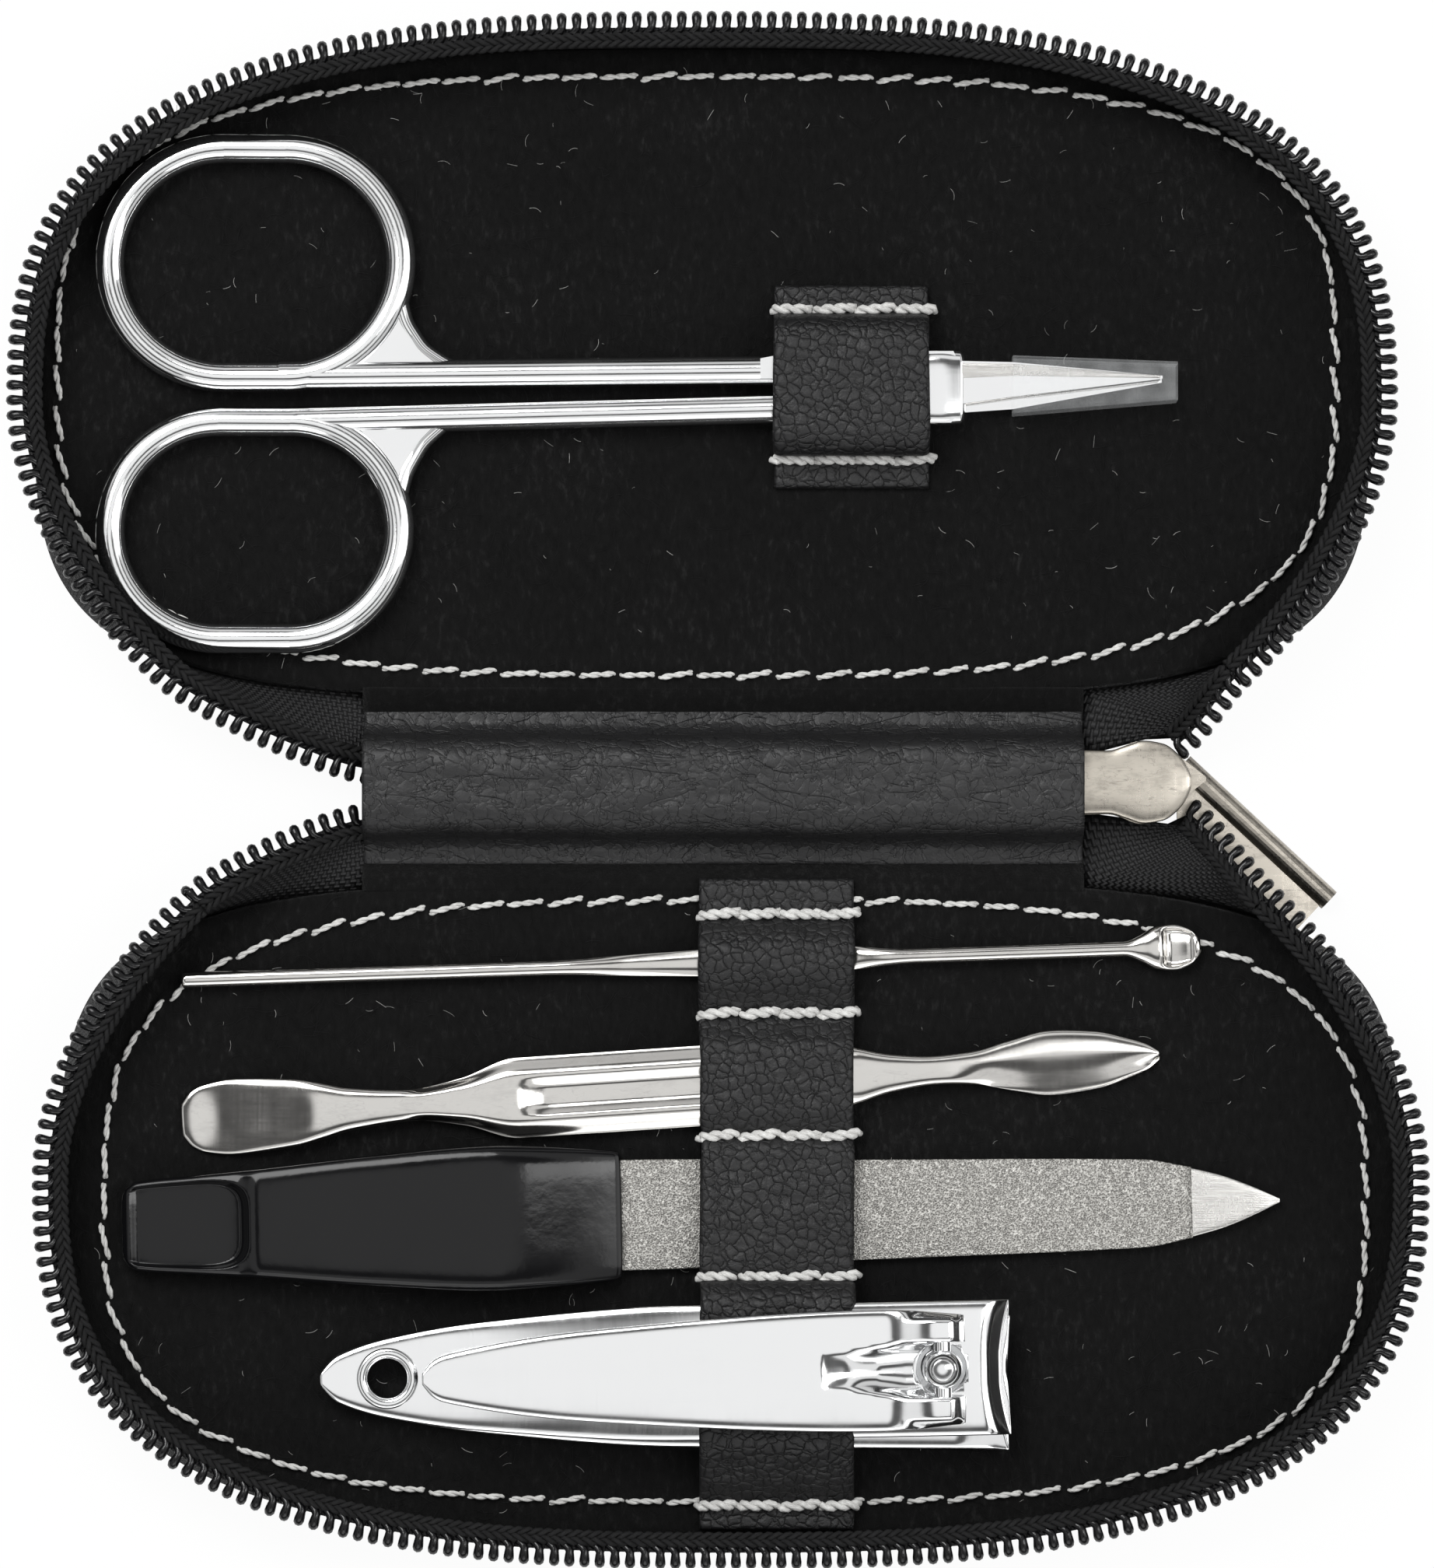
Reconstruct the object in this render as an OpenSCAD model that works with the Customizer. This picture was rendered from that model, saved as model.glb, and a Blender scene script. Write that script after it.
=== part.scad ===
// Zip-around manicure set case, lying open: an oval base half and lid half joined by a soft spine.
// X runs along the spine, +Y towards the lid half, +Z up. The origin is under the middle of the spine.

/* [Case panels] */
// Half the length of each oval panel
panel_half_length = 54.2; // [52:0.1:58]
// Distance from the spine's middle to the widest line of a panel
panel_middle = 33.7; // [32:0.1:36]
// Reach of a panel beyond its widest line
panel_far_reach = 27; // [25:0.5:30]
// Gap between the spine's edge and a panel's edge at the fold
fold_gap = 0.5; // [0.4:0.1:0.8]
// Squareness of the panels' far side
panel_far_squareness = 3; // [2.4:0.1:3.4]
// Squareness of the panels' side towards the spine
panel_near_squareness = 4; // [3.2:0.1:4.4]
// Shift of the lid half along the spine
lid_shift = -1.7; // [-2:0.1:0]
// Shift of the base half along the spine
base_shift = 0.6; // [0:0.1:1.5]
// Thickness of the outer cover
cover_thickness = 0.9; // [0.6:0.1:1.2]
// Thickness of the stiff board inside each half
board_thickness = 1.2; // [0.8:0.1:1.5]
// Thickness of the velvet lining
lining_thickness = 0.6; // [0.4:0.1:0.9]
// Set-back of the board from the panel's edge
board_inset = 1; // [0.5:0.1:2]

/* [Zip] */
// Half the length of the zip's rim
rim_half_length = 56; // [54:0.5:59]
// Distance from the spine's middle to the widest line of the rim
rim_middle = 30.9; // [29:0.1:33]
// Reach of the rim beyond its widest line
rim_far_reach = 31.7; // [30:0.1:34]
// Reach of the rim's oval back towards the spine
rim_near_reach = 41; // [39:0.5:43]
// Squareness of the rim's far side
rim_far_squareness = 2.73; // [2.2:0.01:3.2]
// Squareness of the rim's near side
rim_near_squareness = 1.78; // [1.6:0.01:2]
// Height of the zip teeth's top above the table
rim_height = 7.7; // [7:0.1:7.8]
// Thickness of the coil, across its two legs
coil_thickness = 1.5; // [1:0.1:1.8]
// Width of the coil, from its heads to its roots
coil_width = 2.2; // [1.8:0.1:2.8]
// Pitch of the zip teeth
tooth_pitch = 1.21; // [1:0.01:1.6]
// Length of the teeth beyond the tape
tooth_length = 1.1; // [0.6:0.1:1.4]
// Thickness of the woven tape
tape_thickness = 0.5; // [0.4:0.05:0.7]
// Clearance of the standing tape from the fold, where the stiff walls end
wall_end_clearance = 8.2; // [7.9:0.1:10]

/* [Spine] */
// Length of the spine leather
spine_length = 58.4; // [50:0.2:62]
// Width of the spine leather
spine_width = 12.8; // [12:0.1:13.4]
// Height of the fold axes above the table
fold_height = 1.5; // [1.3:0.1:1.7]
// Thickness of the leather used for pocket and straps
leather_thickness = 0.7; // [0.5:0.05:0.9]
// Thickness of the soft strip under the pocket
padding_thickness = 1.55; // [1.2:0.05:1.7]

/* [Zip slider and puller] */
// Length of the slider's body
slider_length = 5.6; // [5:0.1:7]
// Width of the slider's body
slider_width = 5; // [4.5:0.1:6]
// Height of the slider's body
slider_height = 2.1; // [1.9:0.1:2.2]
// Length of the puller bar
puller_length = 16.2; // [14:0.5:20]
// Width of the puller bar
puller_width = 4.6; // [4:0.1:5.5]
// Thickness of the puller's plate
puller_plate = 0.6; // [0.5:0.1:0.9]
// Height of the puller's rounded rib
puller_rib = 1.4; // [1.2:0.1:1.6]
// Direction of the puller seen from above
puller_angle = -43; // [-50:1:-38]

/* [Scissors] */
// Length of the scissors from ring to tip
scissor_length = 87.1; // [80:0.1:95]
// Thickness of one blade
blade_thickness = 1.2; // [1:0.1:1.6]
// Thickness of the round ring wire
ring_wire = 2.4; // [2:0.1:3]
// Diameter of the pivot screw's shank
pivot_diameter = 2; // [1.6:0.1:2.4]
// Diameter of the pivot screw's head
pivot_head_diameter = 3.6; // [3:0.1:4.2]

/* [Ear pick] */
// Length of the ear pick
ear_pick_length = 82; // [75:0.5:86]
// Diameter of its rod
ear_pick_rod = 1.3; // [1:0.1:1.6]
// Width of its flattened grip
ear_pick_grip = 2.3; // [1.8:0.1:3]
// Width of its scoop
ear_pick_scoop = 3.9; // [3:0.1:4.5]

/* [Cuticle pusher] */
// Length of the pusher
pusher_length = 78.8; // [72:0.2:82]
// Width of its body
pusher_width = 6.5; // [5.5:0.1:7]
// Thickness of its body
pusher_thickness = 1.5; // [1.2:0.1:1.8]

/* [Nail file] */
// Length of the file over its handle
file_length = 93.2; // [88:0.2:96]
// Thickness of the steel blade
file_thickness = 0.8; // [0.6:0.1:1]
// Width of the blade at the handle
file_width = 9; // [8:0.1:10]
// Length of the plastic handle
handle_length = 40; // [35:0.5:44]
// Thickness of the plastic handle
handle_thickness = 3.4; // [3:0.1:3.6]

/* [Nail clipper] */
// Length of the clipper's jaws
clipper_length = 55.4; // [50:0.2:58]
// Width of the jaws at the cutting end
clipper_width = 10.8; // [9:0.1:12]
// Thickness of each jaw's steel
jaw_thickness = 1; // [0.8:0.1:1.2]
// Height of the open gap between the jaws at the post
jaw_opening = 2.6; // [2.2:0.1:3]
// Diameter of the hole through the tail rivet
tail_hole = 3.2; // [2:0.1:3.4]
// Outer diameter of the tail rivet
tail_rivet = 4; // [3.6:0.1:4.4]
// Diameter of the post
post_diameter = 3.2; // [2.6:0.1:3.6]
// Thickness of the lever's steel
lever_thickness = 0.9; // [0.7:0.1:1.2]

/* [Tweezers] */
// Length of the tweezers
tweezer_length = 64; // [55:0.5:66]
// Width of the round head
tweezer_head = 6.7; // [5.5:0.1:7]
// Width of the neck and arms
tweezer_neck = 5.1; // [4:0.1:5.6]
// Thickness of each arm
tweezer_arm = 0.9; // [0.7:0.05:1]

/* [Straps] */
// Width of the strap that holds the four tools
tool_strap_width = 12.4; // [10:0.2:14]
// Width of the strap that holds the scissors
scissor_strap_width = 12.6; // [10:0.2:14]
// Clearance between a tool and its loop
loop_clearance = 0.3; // [0.2:0.05:0.5]
// Running clearance under each tool
rest_clearance = 0.1; // [0.05:0.05:0.2]

/* [Hidden] */
$fn = 48;

// Heights of the layers
board_base = cover_thickness;
lining_base = board_base + board_thickness;
lining_top = lining_base + lining_thickness;
tool_base = lining_top + rest_clearance;
spine_top = cover_thickness + padding_thickness;

// Panel reach back to the fold
fold_line = spine_width / 2 + 0.1;
panel_near_edge = fold_line + fold_gap;
panel_near_reach = panel_middle - panel_near_edge;

// Standing tape
coil_base = rim_height - coil_thickness;
tape_outset = 0.1;
lining_inset = tape_outset + tape_thickness + 0.2;
tape_top = rim_height - 0.3;
tooth_seat = 0.05;
tape_end_height = 0.95;
tape_end_steps = 8;
outline_step = 3;
fine_step = 1;
easing_steps = 6;

// Places of the tools, seen from above: middle of the tool in its strap, and its turn
strap_x = 4.3;
scissor_strap_x = 10.4;
ear_pick_y = -13.9;
ear_pick_turn = 1.9;
ear_pick_ahead = 34.1;
pusher_y = -23.6;
pusher_turn = 3.8;
pusher_ahead = 30.9;
file_y = -34.15;
file_turn = 1.3;
file_ahead = 40.6;
clipper_y = -46.9;
clipper_turn = 1.1;
clipper_ahead = 18.7;
scissor_y = 32.4;
pivot_x = 13;
tweezer_y = 0.5;
tweezer_end = 37.75;
tweezer_gap = 0.65;
pocket_middle = 0.2;
pocket_half = 3.9;
padding_width = 6.4;
slider_start = 33.5;
strap_round = 0.5;
scissor_loop_half = 4.6;
pivot_head_height = 0.65;
scoop_ball = 4;
spoon_ball = 12;
channel_depth = 0.5;

// Stitch lines that close the loops of the tool strap
tool_strap_stitches = [-57.4, -39.6, -28.8, -18.1, -10.4];
tool_strap_ends = [-59.5, -7.5];
scissor_strap_stitches = [27.3, 38.4];
scissor_strap_ends = [24.6, 40.6];
stitch_foot = 0.35;
strap_side = 0.45;

// Colours
leather_colour = [0.13, 0.13, 0.14];
velvet_colour = [0.07, 0.07, 0.07];
tape_colour = [0.1, 0.1, 0.1];
coil_colour = [0.03, 0.03, 0.04];
board_colour = [0.45, 0.42, 0.36];
chrome_colour = [0.86, 0.87, 0.88];
nickel_colour = [0.78, 0.75, 0.7];
grit_colour = [0.66, 0.64, 0.61];
sleeve_colour = [0.9, 0.93, 0.95, 0.5];

// Signed power, for the oval outlines
function signed_power(value, power) = sign(value) * pow(abs(value), power);

// Point of an oval with its own reach on the far side (turns 0 to 180) and on the near side
function oval_point(turn, half_length, middle, far, near, far_square, near_square) =
    let (square = sin(turn) >= 0 ? far_square : near_square)
    let (reach = sin(turn) >= 0 ? far : near)
    [half_length * signed_power(cos(turn), 2 / square), middle + reach * signed_power(sin(turn), 2 / square)];

function panel_point(turn, inset) = oval_point(turn, panel_half_length - inset, panel_middle,
    panel_far_reach - inset, panel_near_reach - inset, panel_far_squareness, panel_near_squareness);

function rim_point(turn, inset) = oval_point(turn, rim_half_length - inset, rim_middle,
    rim_far_reach - inset, rim_near_reach - inset, rim_far_squareness, rim_near_squareness);

// Turn below the widest line at which the rim comes down to the wall's end
wall_end_turn = asin(pow((rim_middle - wall_end_clearance) / rim_near_reach, rim_near_squareness / 2));
wall_turns = [for (i = [0:ceil((180 + 2 * wall_end_turn) / outline_step)])
    let (last = ceil((180 + 2 * wall_end_turn) / outline_step))
    -wall_end_turn + (180 + 2 * wall_end_turn) * i / last];

// One half is drawn on the lid's side; the base is its mirror image
module as_lid() translate([lid_shift, 0, 0]) children();
module as_base() translate([base_shift, 0, 0]) mirror([0, 1, 0]) children();

module panel_layer(inset, base, thickness) {
    translate([0, 0, base])
        linear_extrude(thickness)
            polygon([for (turn = [0:outline_step:359]) panel_point(turn, inset)]);
}

// Triangles across the end of a strip, whose section has as many corners on its inner side as on its outer side
function strip_end(start, size) = [for (i = [0:size / 2 - 2])
    let (a = start + i)
    let (b = start + size - 1 - i)
    each [[a, a + 1, b - 1], [a, b - 1, b]]];

function turned_over(triangles) = [for (t = triangles) [t[2], t[1], t[0]]];

// Sheet through a row of sections, each with the same number of corners
module lofted_strip(sections) {
    count = len(sections);
    size = len(sections[0]);
    corners = [for (section = sections) each section];
    sides = [for (i = [0:count - 2]) for (k = [0:size - 1])
        let (a = size * i + k)
        let (b = size * i + (k + 1) % size)
        each [[a, b, b + size], [a, b + size, a + size]]];
    polyhedron(corners, concat(turned_over(strip_end(0, size)), sides, strip_end(size * (count - 1), size)));
}

function flat_to(point, height) = [point[0], point[1], height];

// Standing woven tape: it rises from the panel's edge to the coil's roots, and then straight up behind them
function wall_section(turn) = [
    flat_to(panel_point(turn, tape_outset), board_base),
    flat_to(rim_point(turn, coil_width - tape_thickness), coil_base - tooth_seat),
    flat_to(rim_point(turn, coil_width - tape_thickness), tape_top),
    flat_to(rim_point(turn, coil_width), tape_top),
    flat_to(rim_point(turn, coil_width), coil_base - tooth_seat),
    flat_to(panel_point(turn, tape_outset + tape_thickness), board_base)
];

module standing_tape() lofted_strip([for (turn = wall_turns) wall_section(turn)]);

// Distance run along the rim at each fine step, for even teeth
rim_turns = [for (turn = [-wall_end_turn:fine_step:180 + wall_end_turn]) turn];
rim_steps = [for (i = [1:len(rim_turns) - 1])
    norm(rim_point(rim_turns[i], 0) - rim_point(rim_turns[i - 1], 0))];
rim_runs = [for (i = 0, run = 0; i < len(rim_turns); run = run + (i < len(rim_steps) ? rim_steps[i] : 0), i = i + 1)
    [run, rim_turns[i]]];
rim_length = rim_runs[len(rim_runs) - 1][0];
tooth_count = floor(rim_length / tooth_pitch) - 1;

function rim_at(run, inset) = rim_point(lookup(run, rim_runs), inset);

// Row of teeth, a comb with its heads outwards
module tooth_row() {
    heads = [for (k = [1:tooth_count - 2])
        let (run = (k + 0.5) * tooth_pitch)
        each [
            rim_at(run - 0.3 * tooth_pitch, tooth_length),
            rim_at(run - 0.26 * tooth_pitch, 0.25),
            rim_at(run, 0),
            rim_at(run + 0.26 * tooth_pitch, 0.25),
            rim_at(run + 0.3 * tooth_pitch, tooth_length)
        ]];
    roots = [for (turn = [180 + wall_end_turn - fine_step:-outline_step:fine_step - wall_end_turn])
        rim_point(turn, coil_width - tape_thickness - tooth_seat)];
    translate([0, 0, coil_base])
        linear_extrude(coil_thickness)
            polygon(concat(heads, roots));
}

module cover_panel() color(leather_colour) panel_layer(0, 0, cover_thickness);
module board_panel() color(board_colour) panel_layer(board_inset, board_base, board_thickness);
module lining_panel() color(velvet_colour) panel_layer(lining_inset + 0.35, lining_base, lining_thickness);

// Soft end of the tape: it turns flat and runs to the end of the spine
function bezier(a, b, c, u) = (1 - u) * (1 - u) * a + 2 * u * (1 - u) * b + u * u * c;

function end_section(side, end, u) =
    let (turn = side > 0 ? -wall_end_turn : 180 + wall_end_turn)
    let (top = flat_to(rim_point(turn, coil_width - tape_thickness), tape_top))
    let (foot = flat_to(panel_point(turn, tape_outset), board_base))
    let (inwards = panel_point(turn, tape_outset + tape_thickness) - panel_point(turn, tape_outset))
    let (edge = bezier(top, [(top[0] + end[0]) / 2 + side, (top[1] + end[1]) / 2 - 1.2, end[2] + 2.6], end, u))
    let (seam = bezier(foot, [(foot[0] + end[0]) / 2 + 3 * side, panel_near_edge - 0.3, board_base],
        [end[0] - (1 + side) / 2, panel_near_edge - 0.2, board_base + 0.1], u))
    let (drop = flat_to([0, 0], coil_base - tooth_seat - tape_top))
    let (knee = edge + (1 - u) * drop + u * (seam - edge) / 4)
    let (rim_inwards = rim_point(turn, coil_width) - rim_point(turn, coil_width - tape_thickness))
    let (rise = [0, 0, u * tape_thickness])
    let (top_step = (1 - u) * flat_to(rim_inwards, 0) + rise)
    let (foot_step = (1 - u) * flat_to(inwards, 0) + rise)
    [seam, knee, edge, edge + top_step, knee + top_step, seam + foot_step];

module tape_end(side, end) {
    lofted_strip([for (i = [side > 0 ? tape_end_steps : 0 : side > 0 ? -1 : 1 : side > 0 ? 0 : tape_end_steps])
        end_section(side, end, 0.02 + 0.98 * i / tape_end_steps)]);
}

module tape_ends(shift, slider_side) {
    tape_end(1, [slider_start - 0.7 - shift, slider_side, tape_end_height]);
    tape_end(-1, [-spine_length / 2 - 0.6 - shift, 1.4, tape_end_height]);
}

// Base half
module base_shell() as_base() cover_panel();
module base_board() as_base() board_panel();
module base_lining() as_base() lining_panel();
module base_zip_tape() color(tape_colour) as_base() standing_tape();
module base_zip_coil() color(coil_colour) as_base() tooth_row();
module base_tape_ends() color(tape_colour) as_base() tape_ends(base_shift, 2.1);

// Lid half
module lid_shell() as_lid() cover_panel();
module lid_board() as_lid() board_panel();
module lid_lining() as_lid() lining_panel();
module lid_zip_tape() color(tape_colour) as_lid() standing_tape();
module lid_zip_coil() color(coil_colour) as_lid() tooth_row();
module lid_tape_ends() color(tape_colour) as_lid() tape_ends(lid_shift, 4);

// Profile in the YZ plane, drawn along X
module along_x(start, length) translate([start, 0, 0]) rotate([90, 0, 90]) linear_extrude(length) children();

// Spine
module spine_cover() {
    color(leather_colour)
        along_x(-spine_length / 2, spine_length)
            translate([-spine_width / 2, 0])
                square([spine_width, cover_thickness]);
}

module spine_padding() {
    color(velvet_colour)
        along_x(-spine_length / 2 + 1, spine_length - 2)
            translate([pocket_middle - padding_width / 2, cover_thickness])
                square([padding_width, padding_thickness]);
}

// Points of a leather layer that follows a line of its inner face
function leather_layer(line, thickness) =
    let (count = len(line))
    let (outer = [for (i = [0:count - 1])
        let (before = line[max(i - 1, 0)])
        let (after = line[min(i + 1, count - 1)])
        let (along = (after - before) / norm(after - before))
        line[i] + thickness * [-along[1], along[0]]])
    concat(line, [for (i = [count - 1:-1:0]) outer[i]]);

pocket_roof = spine_top + 2 * tweezer_arm + tweezer_gap + 2 * rest_clearance;
pocket_line = [
    [-spine_width / 2, cover_thickness],
    [pocket_middle - pocket_half - 1, cover_thickness],
    [pocket_middle - pocket_half, cover_thickness + 0.5],
    [pocket_middle - pocket_half + 0.35, pocket_roof - 0.5],
    [pocket_middle - pocket_half + 0.9, pocket_roof],
    [pocket_middle + pocket_half - 0.9, pocket_roof],
    [pocket_middle + pocket_half - 0.35, pocket_roof - 0.5],
    [pocket_middle + pocket_half, cover_thickness + 0.5],
    [pocket_middle + pocket_half + 1, cover_thickness],
    [spine_width / 2, cover_thickness]
];

module spine_pocket() {
    color(leather_colour)
        along_x(-spine_length / 2, spine_length)
            polygon(leather_layer(pocket_line, leather_thickness));
}

// Hump of a strap over one tool, between two stitch lines
module strap_hump(feet, middle, half, top, base) {
    round = min(strap_round, (top - base) / 2);
    polygon([
        [feet[0], base], [middle - half, top - round], [middle - half + round, top],
        [middle + half - round, top], [middle + half, top - round], [feet[1], base]]);
}

// Strap that is sewn down between its loops; each loop is [middle, half width, top height]
module strap(x, width, ends, stitches, loops) {
    across = [min(ends), max(ends)];
    difference() {
        union() {
            along_x(x - width / 2, width)
                translate([across[0], lining_top])
                    square([across[1] - across[0], leather_thickness]);
            for (i = [0:len(loops) - 1])
                along_x(x - width / 2, width)
                    strap_hump([stitches[i], stitches[i + 1]], loops[i][0],
                        loops[i][1] + loop_clearance + strap_side,
                        loops[i][2] + loop_clearance + leather_thickness, lining_top + leather_thickness / 2);
        }
        for (i = [0:len(loops) - 1])
            along_x(x - width / 2 - 1, width + 2)
                strap_hump([stitches[i] + stitch_foot, stitches[i + 1] - stitch_foot], loops[i][0],
                    loops[i][1] + loop_clearance, loops[i][2] + loop_clearance, lining_top - 0.01);
    }
}

module tool_strap() {
    color(leather_colour)
        strap(strap_x, tool_strap_width, tool_strap_ends, tool_strap_stitches, [
            [clipper_y, clipper_width / 2 + tilt_room(clipper_turn), upper_jaw_top],
            [file_y, file_width / 2 - 0.2 + tilt_room(file_turn), tool_base + file_thickness],
            [pusher_y, pusher_width / 2 + tilt_room(pusher_turn), tool_base + pusher_thickness],
            [ear_pick_y, ear_pick_grip / 2 + tilt_room(ear_pick_turn), tool_base + ear_pick_rod]
        ]);
}

module scissor_strap() {
    color(leather_colour)
        strap(scissor_strap_x, scissor_strap_width, scissor_strap_ends, scissor_strap_stitches,
            [[scissor_y, scissor_loop_half, scissor_top + pivot_head_height]]);
}

// Room that a turned tool needs over half a strap's width
function tilt_room(turn) = tool_strap_width / 2 * tan(turn);

// Outline of a slim tool along its length: stations are [place, half width, sideways offset]
function rise(stations, i, c) = (stations[i + 1][c] - stations[i][c]) / (stations[i + 1][0] - stations[i][0]);
function slope_at(stations, i, c) =
    i == 0 ? rise(stations, 0, c)
    : i == len(stations) - 1 ? rise(stations, i - 1, c)
    : rise(stations, i - 1, c) * rise(stations, i, c) <= 0 ? 0
    : (rise(stations, i - 1, c) + rise(stations, i, c)) / 2;
function smooth_value(stations, i, c, u) =
    let (span = stations[i + 1][0] - stations[i][0])
    stations[i][c] * (1 + 2 * u) * (1 - u) * (1 - u)
    + slope_at(stations, i, c) * span * u * (1 - u) * (1 - u)
    + stations[i + 1][c] * u * u * (3 - 2 * u)
    + slope_at(stations, i + 1, c) * span * u * u * (u - 1);
function station_sides(stations, side) = [for (i = [0:len(stations) - 2]) for (k = [0:easing_steps - 1])
    let (u = k / easing_steps)
    [stations[i][0] + (stations[i + 1][0] - stations[i][0]) * u,
        smooth_value(stations, i, 2, u) + side * smooth_value(stations, i, 1, u)]];

function reversed(list) = [for (i = [len(list) - 1:-1:0]) list[i]];

module tool_outline(stations) {
    last = stations[len(stations) - 1];
    polygon(concat(
        station_sides(stations, 1),
        [[last[0], last[2] + last[1]], [last[0], last[2] - last[1]]],
        reversed(station_sides(stations, -1))));
}

// A tool lies on the lining, turned a little, with its strap at its own origin
module laid(y, turn) translate([strap_x, y, tool_base]) rotate(turn) children();

// Ear pick
pick_back = ear_pick_ahead - ear_pick_length;
scoop_length = 6;
scoop_middle = ear_pick_ahead - ear_pick_scoop / 2 - 0.5;

module ear_pick() {
    color(nickel_colour)
        laid(ear_pick_y, ear_pick_turn) {
            difference() {
                union() {
                    translate([pick_back, 0, ear_pick_rod / 2])
                        rotate([0, 90, 0])
                            cylinder(d = ear_pick_rod, h = ear_pick_length - scoop_length + 0.5);
                    linear_extrude(ear_pick_rod * 0.7)
                        tool_outline([[-18.7, 0.3, 0], [-6, ear_pick_grip / 2, 0],
                            [3, ear_pick_grip / 2, 0], [10.3, 0.3, 0]]);
                    linear_extrude(ear_pick_rod)
                            tool_outline([[ear_pick_ahead - scoop_length, 0.6, 0],
                                [ear_pick_ahead - 3.4, ear_pick_scoop / 2, 0],
                                [ear_pick_ahead - 2, ear_pick_scoop / 2, 0],
                                [ear_pick_ahead - 0.8, ear_pick_scoop / 2 - 0.7, 0],
                                [ear_pick_ahead, 0.5, 0]]);
                }
                translate([scoop_middle, 0, ear_pick_rod + scoop_ball - 0.7])
                    sphere(scoop_ball);
            }
        }
}

// Cuticle pusher: spoon, grip with a pressed channel, and lance-shaped blade
pusher_back = pusher_ahead - pusher_length;

module cuticle_pusher() {
    half = pusher_width / 2;
    color(nickel_colour)
        laid(pusher_y, pusher_turn)
            difference() {
                linear_extrude(pusher_thickness)
                    tool_outline([
                        [pusher_back, 1.2, 0], [pusher_back + 1.2, half - 0.7, 0],
                        [pusher_back + 3, half - 0.25, 0], [pusher_back + 10, half - 0.3, 0],
                        [pusher_back + 18.5, 1.3, 0], [pusher_back + 27, half, 0],
                        [pusher_ahead - 22.5, half, 0], [pusher_ahead - 17, 1.15, 0],
                        [pusher_ahead - 9.6, 2.55, 0], [pusher_ahead - 7, 2.55, 0],
                        [pusher_ahead - 3, 1.8, 0], [pusher_ahead, 0.25, 0]]);
                translate([0, 0, pusher_thickness - channel_depth])
                    linear_extrude(pusher_thickness)
                        tool_outline([
                            [pusher_back + 27.2, 0.5, 0], [pusher_back + 28, half / 2, 0],
                            [pusher_ahead - 24, half / 2, 0], [pusher_ahead - 23, 0.5, 0]]);
                translate([pusher_back + 2.5, 0, spoon_ball + 0.45])
                    sphere(spoon_ball);
                translate([pusher_ahead - 14, 0, pusher_thickness - 0.75])
                    rotate([0, 3, 0])
                        translate([0, -half, 0])
                            cube([20, 2 * half, pusher_thickness]);
            }
}

// Nail file
handle_back = file_ahead - file_length;
handle_front = handle_back + handle_length;
blade_level = (handle_thickness - file_thickness) / 2;

module file_outline(extra) {
    tool_outline([
        [handle_front - 8 - extra, file_width / 2 - 1 + extra, 0], [handle_front - 1, file_width / 2 + extra, 0],
        [0, file_width / 2 - 0.35 + extra, 0], [file_ahead - 11, file_width / 2 - 1.05 + extra, 0],
        [file_ahead - 8, file_width / 2 - 1.5 + extra, 0], [file_ahead - 3, 1.5, 0], [file_ahead, 0.2, 0]]);
}

module file_blade() {
    color(grit_colour)
        laid(file_y, file_turn)
            linear_extrude(file_thickness)
                file_outline(0);
}

module file_handle() {
    color("black")
        laid(file_y, file_turn)
            difference() {
                intersection() {
                    linear_extrude(handle_thickness)
                        tool_outline([
                            [handle_back, 3.1, 0], [handle_back + 1, 3.6, 0], [handle_back + 10, 4.3, 0],
                            [handle_back + 28, 5.9, 0], [handle_back + 33, 5.9, 0],
                            [handle_front, 5.15, 0]]);
                    rotate([90, 0, 0])
                        translate([0, 0, -10])
                            linear_extrude(20)
                                polygon([
                                    [handle_back, 0], [handle_front, 0], [handle_front, file_thickness + 0.9],
                                    [handle_front - 10, handle_thickness - 0.4], [handle_front - 16, handle_thickness],
                                    [handle_back + 11, handle_thickness - 0.5], [handle_back + 9, handle_thickness - 1.2],
                                    [handle_back + 1, handle_thickness - 1.4], [handle_back, handle_thickness - 1.9]]);
                }
                translate([0, 0, -0.05])
                    linear_extrude(file_thickness + 0.1)
                        file_outline(0.05);
            }
}

// Side profile in the XZ plane, as wide as needed
module side_profile(width) rotate([90, 0, 0]) translate([0, 0, -width / 2]) linear_extrude(width) children();

// Nail clipper, drawn from its strap outwards with its lower face at zero
tail = clipper_ahead - clipper_length;
tail_hole_x = tail + 5.4;
jaw_hinge_x = tail + 8.4;
post_x = clipper_ahead - 5.5;
jaw_gap = 0.05;
upper_jaw_under = jaw_thickness + jaw_opening;
upper_jaw_top = tool_base + upper_jaw_under + jaw_thickness;
pin_height = upper_jaw_under + jaw_thickness + 1.85;
lever_base = pin_height - 0.6;
ear_radius = 1.75;
pin_diameter = 1.4;

module clipper_outline() {
    half = clipper_width / 2;
    tool_outline([
        [tail, 0.5, 0], [tail + 1.4, 1.9, 0], [tail_hole_x, half - 2.2, 0], [tail + 13.2, half - 1, 0],
        [tail + 29, half, 0], [clipper_ahead - 2, half, 0], [clipper_ahead, half, 0]]);
}

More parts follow.
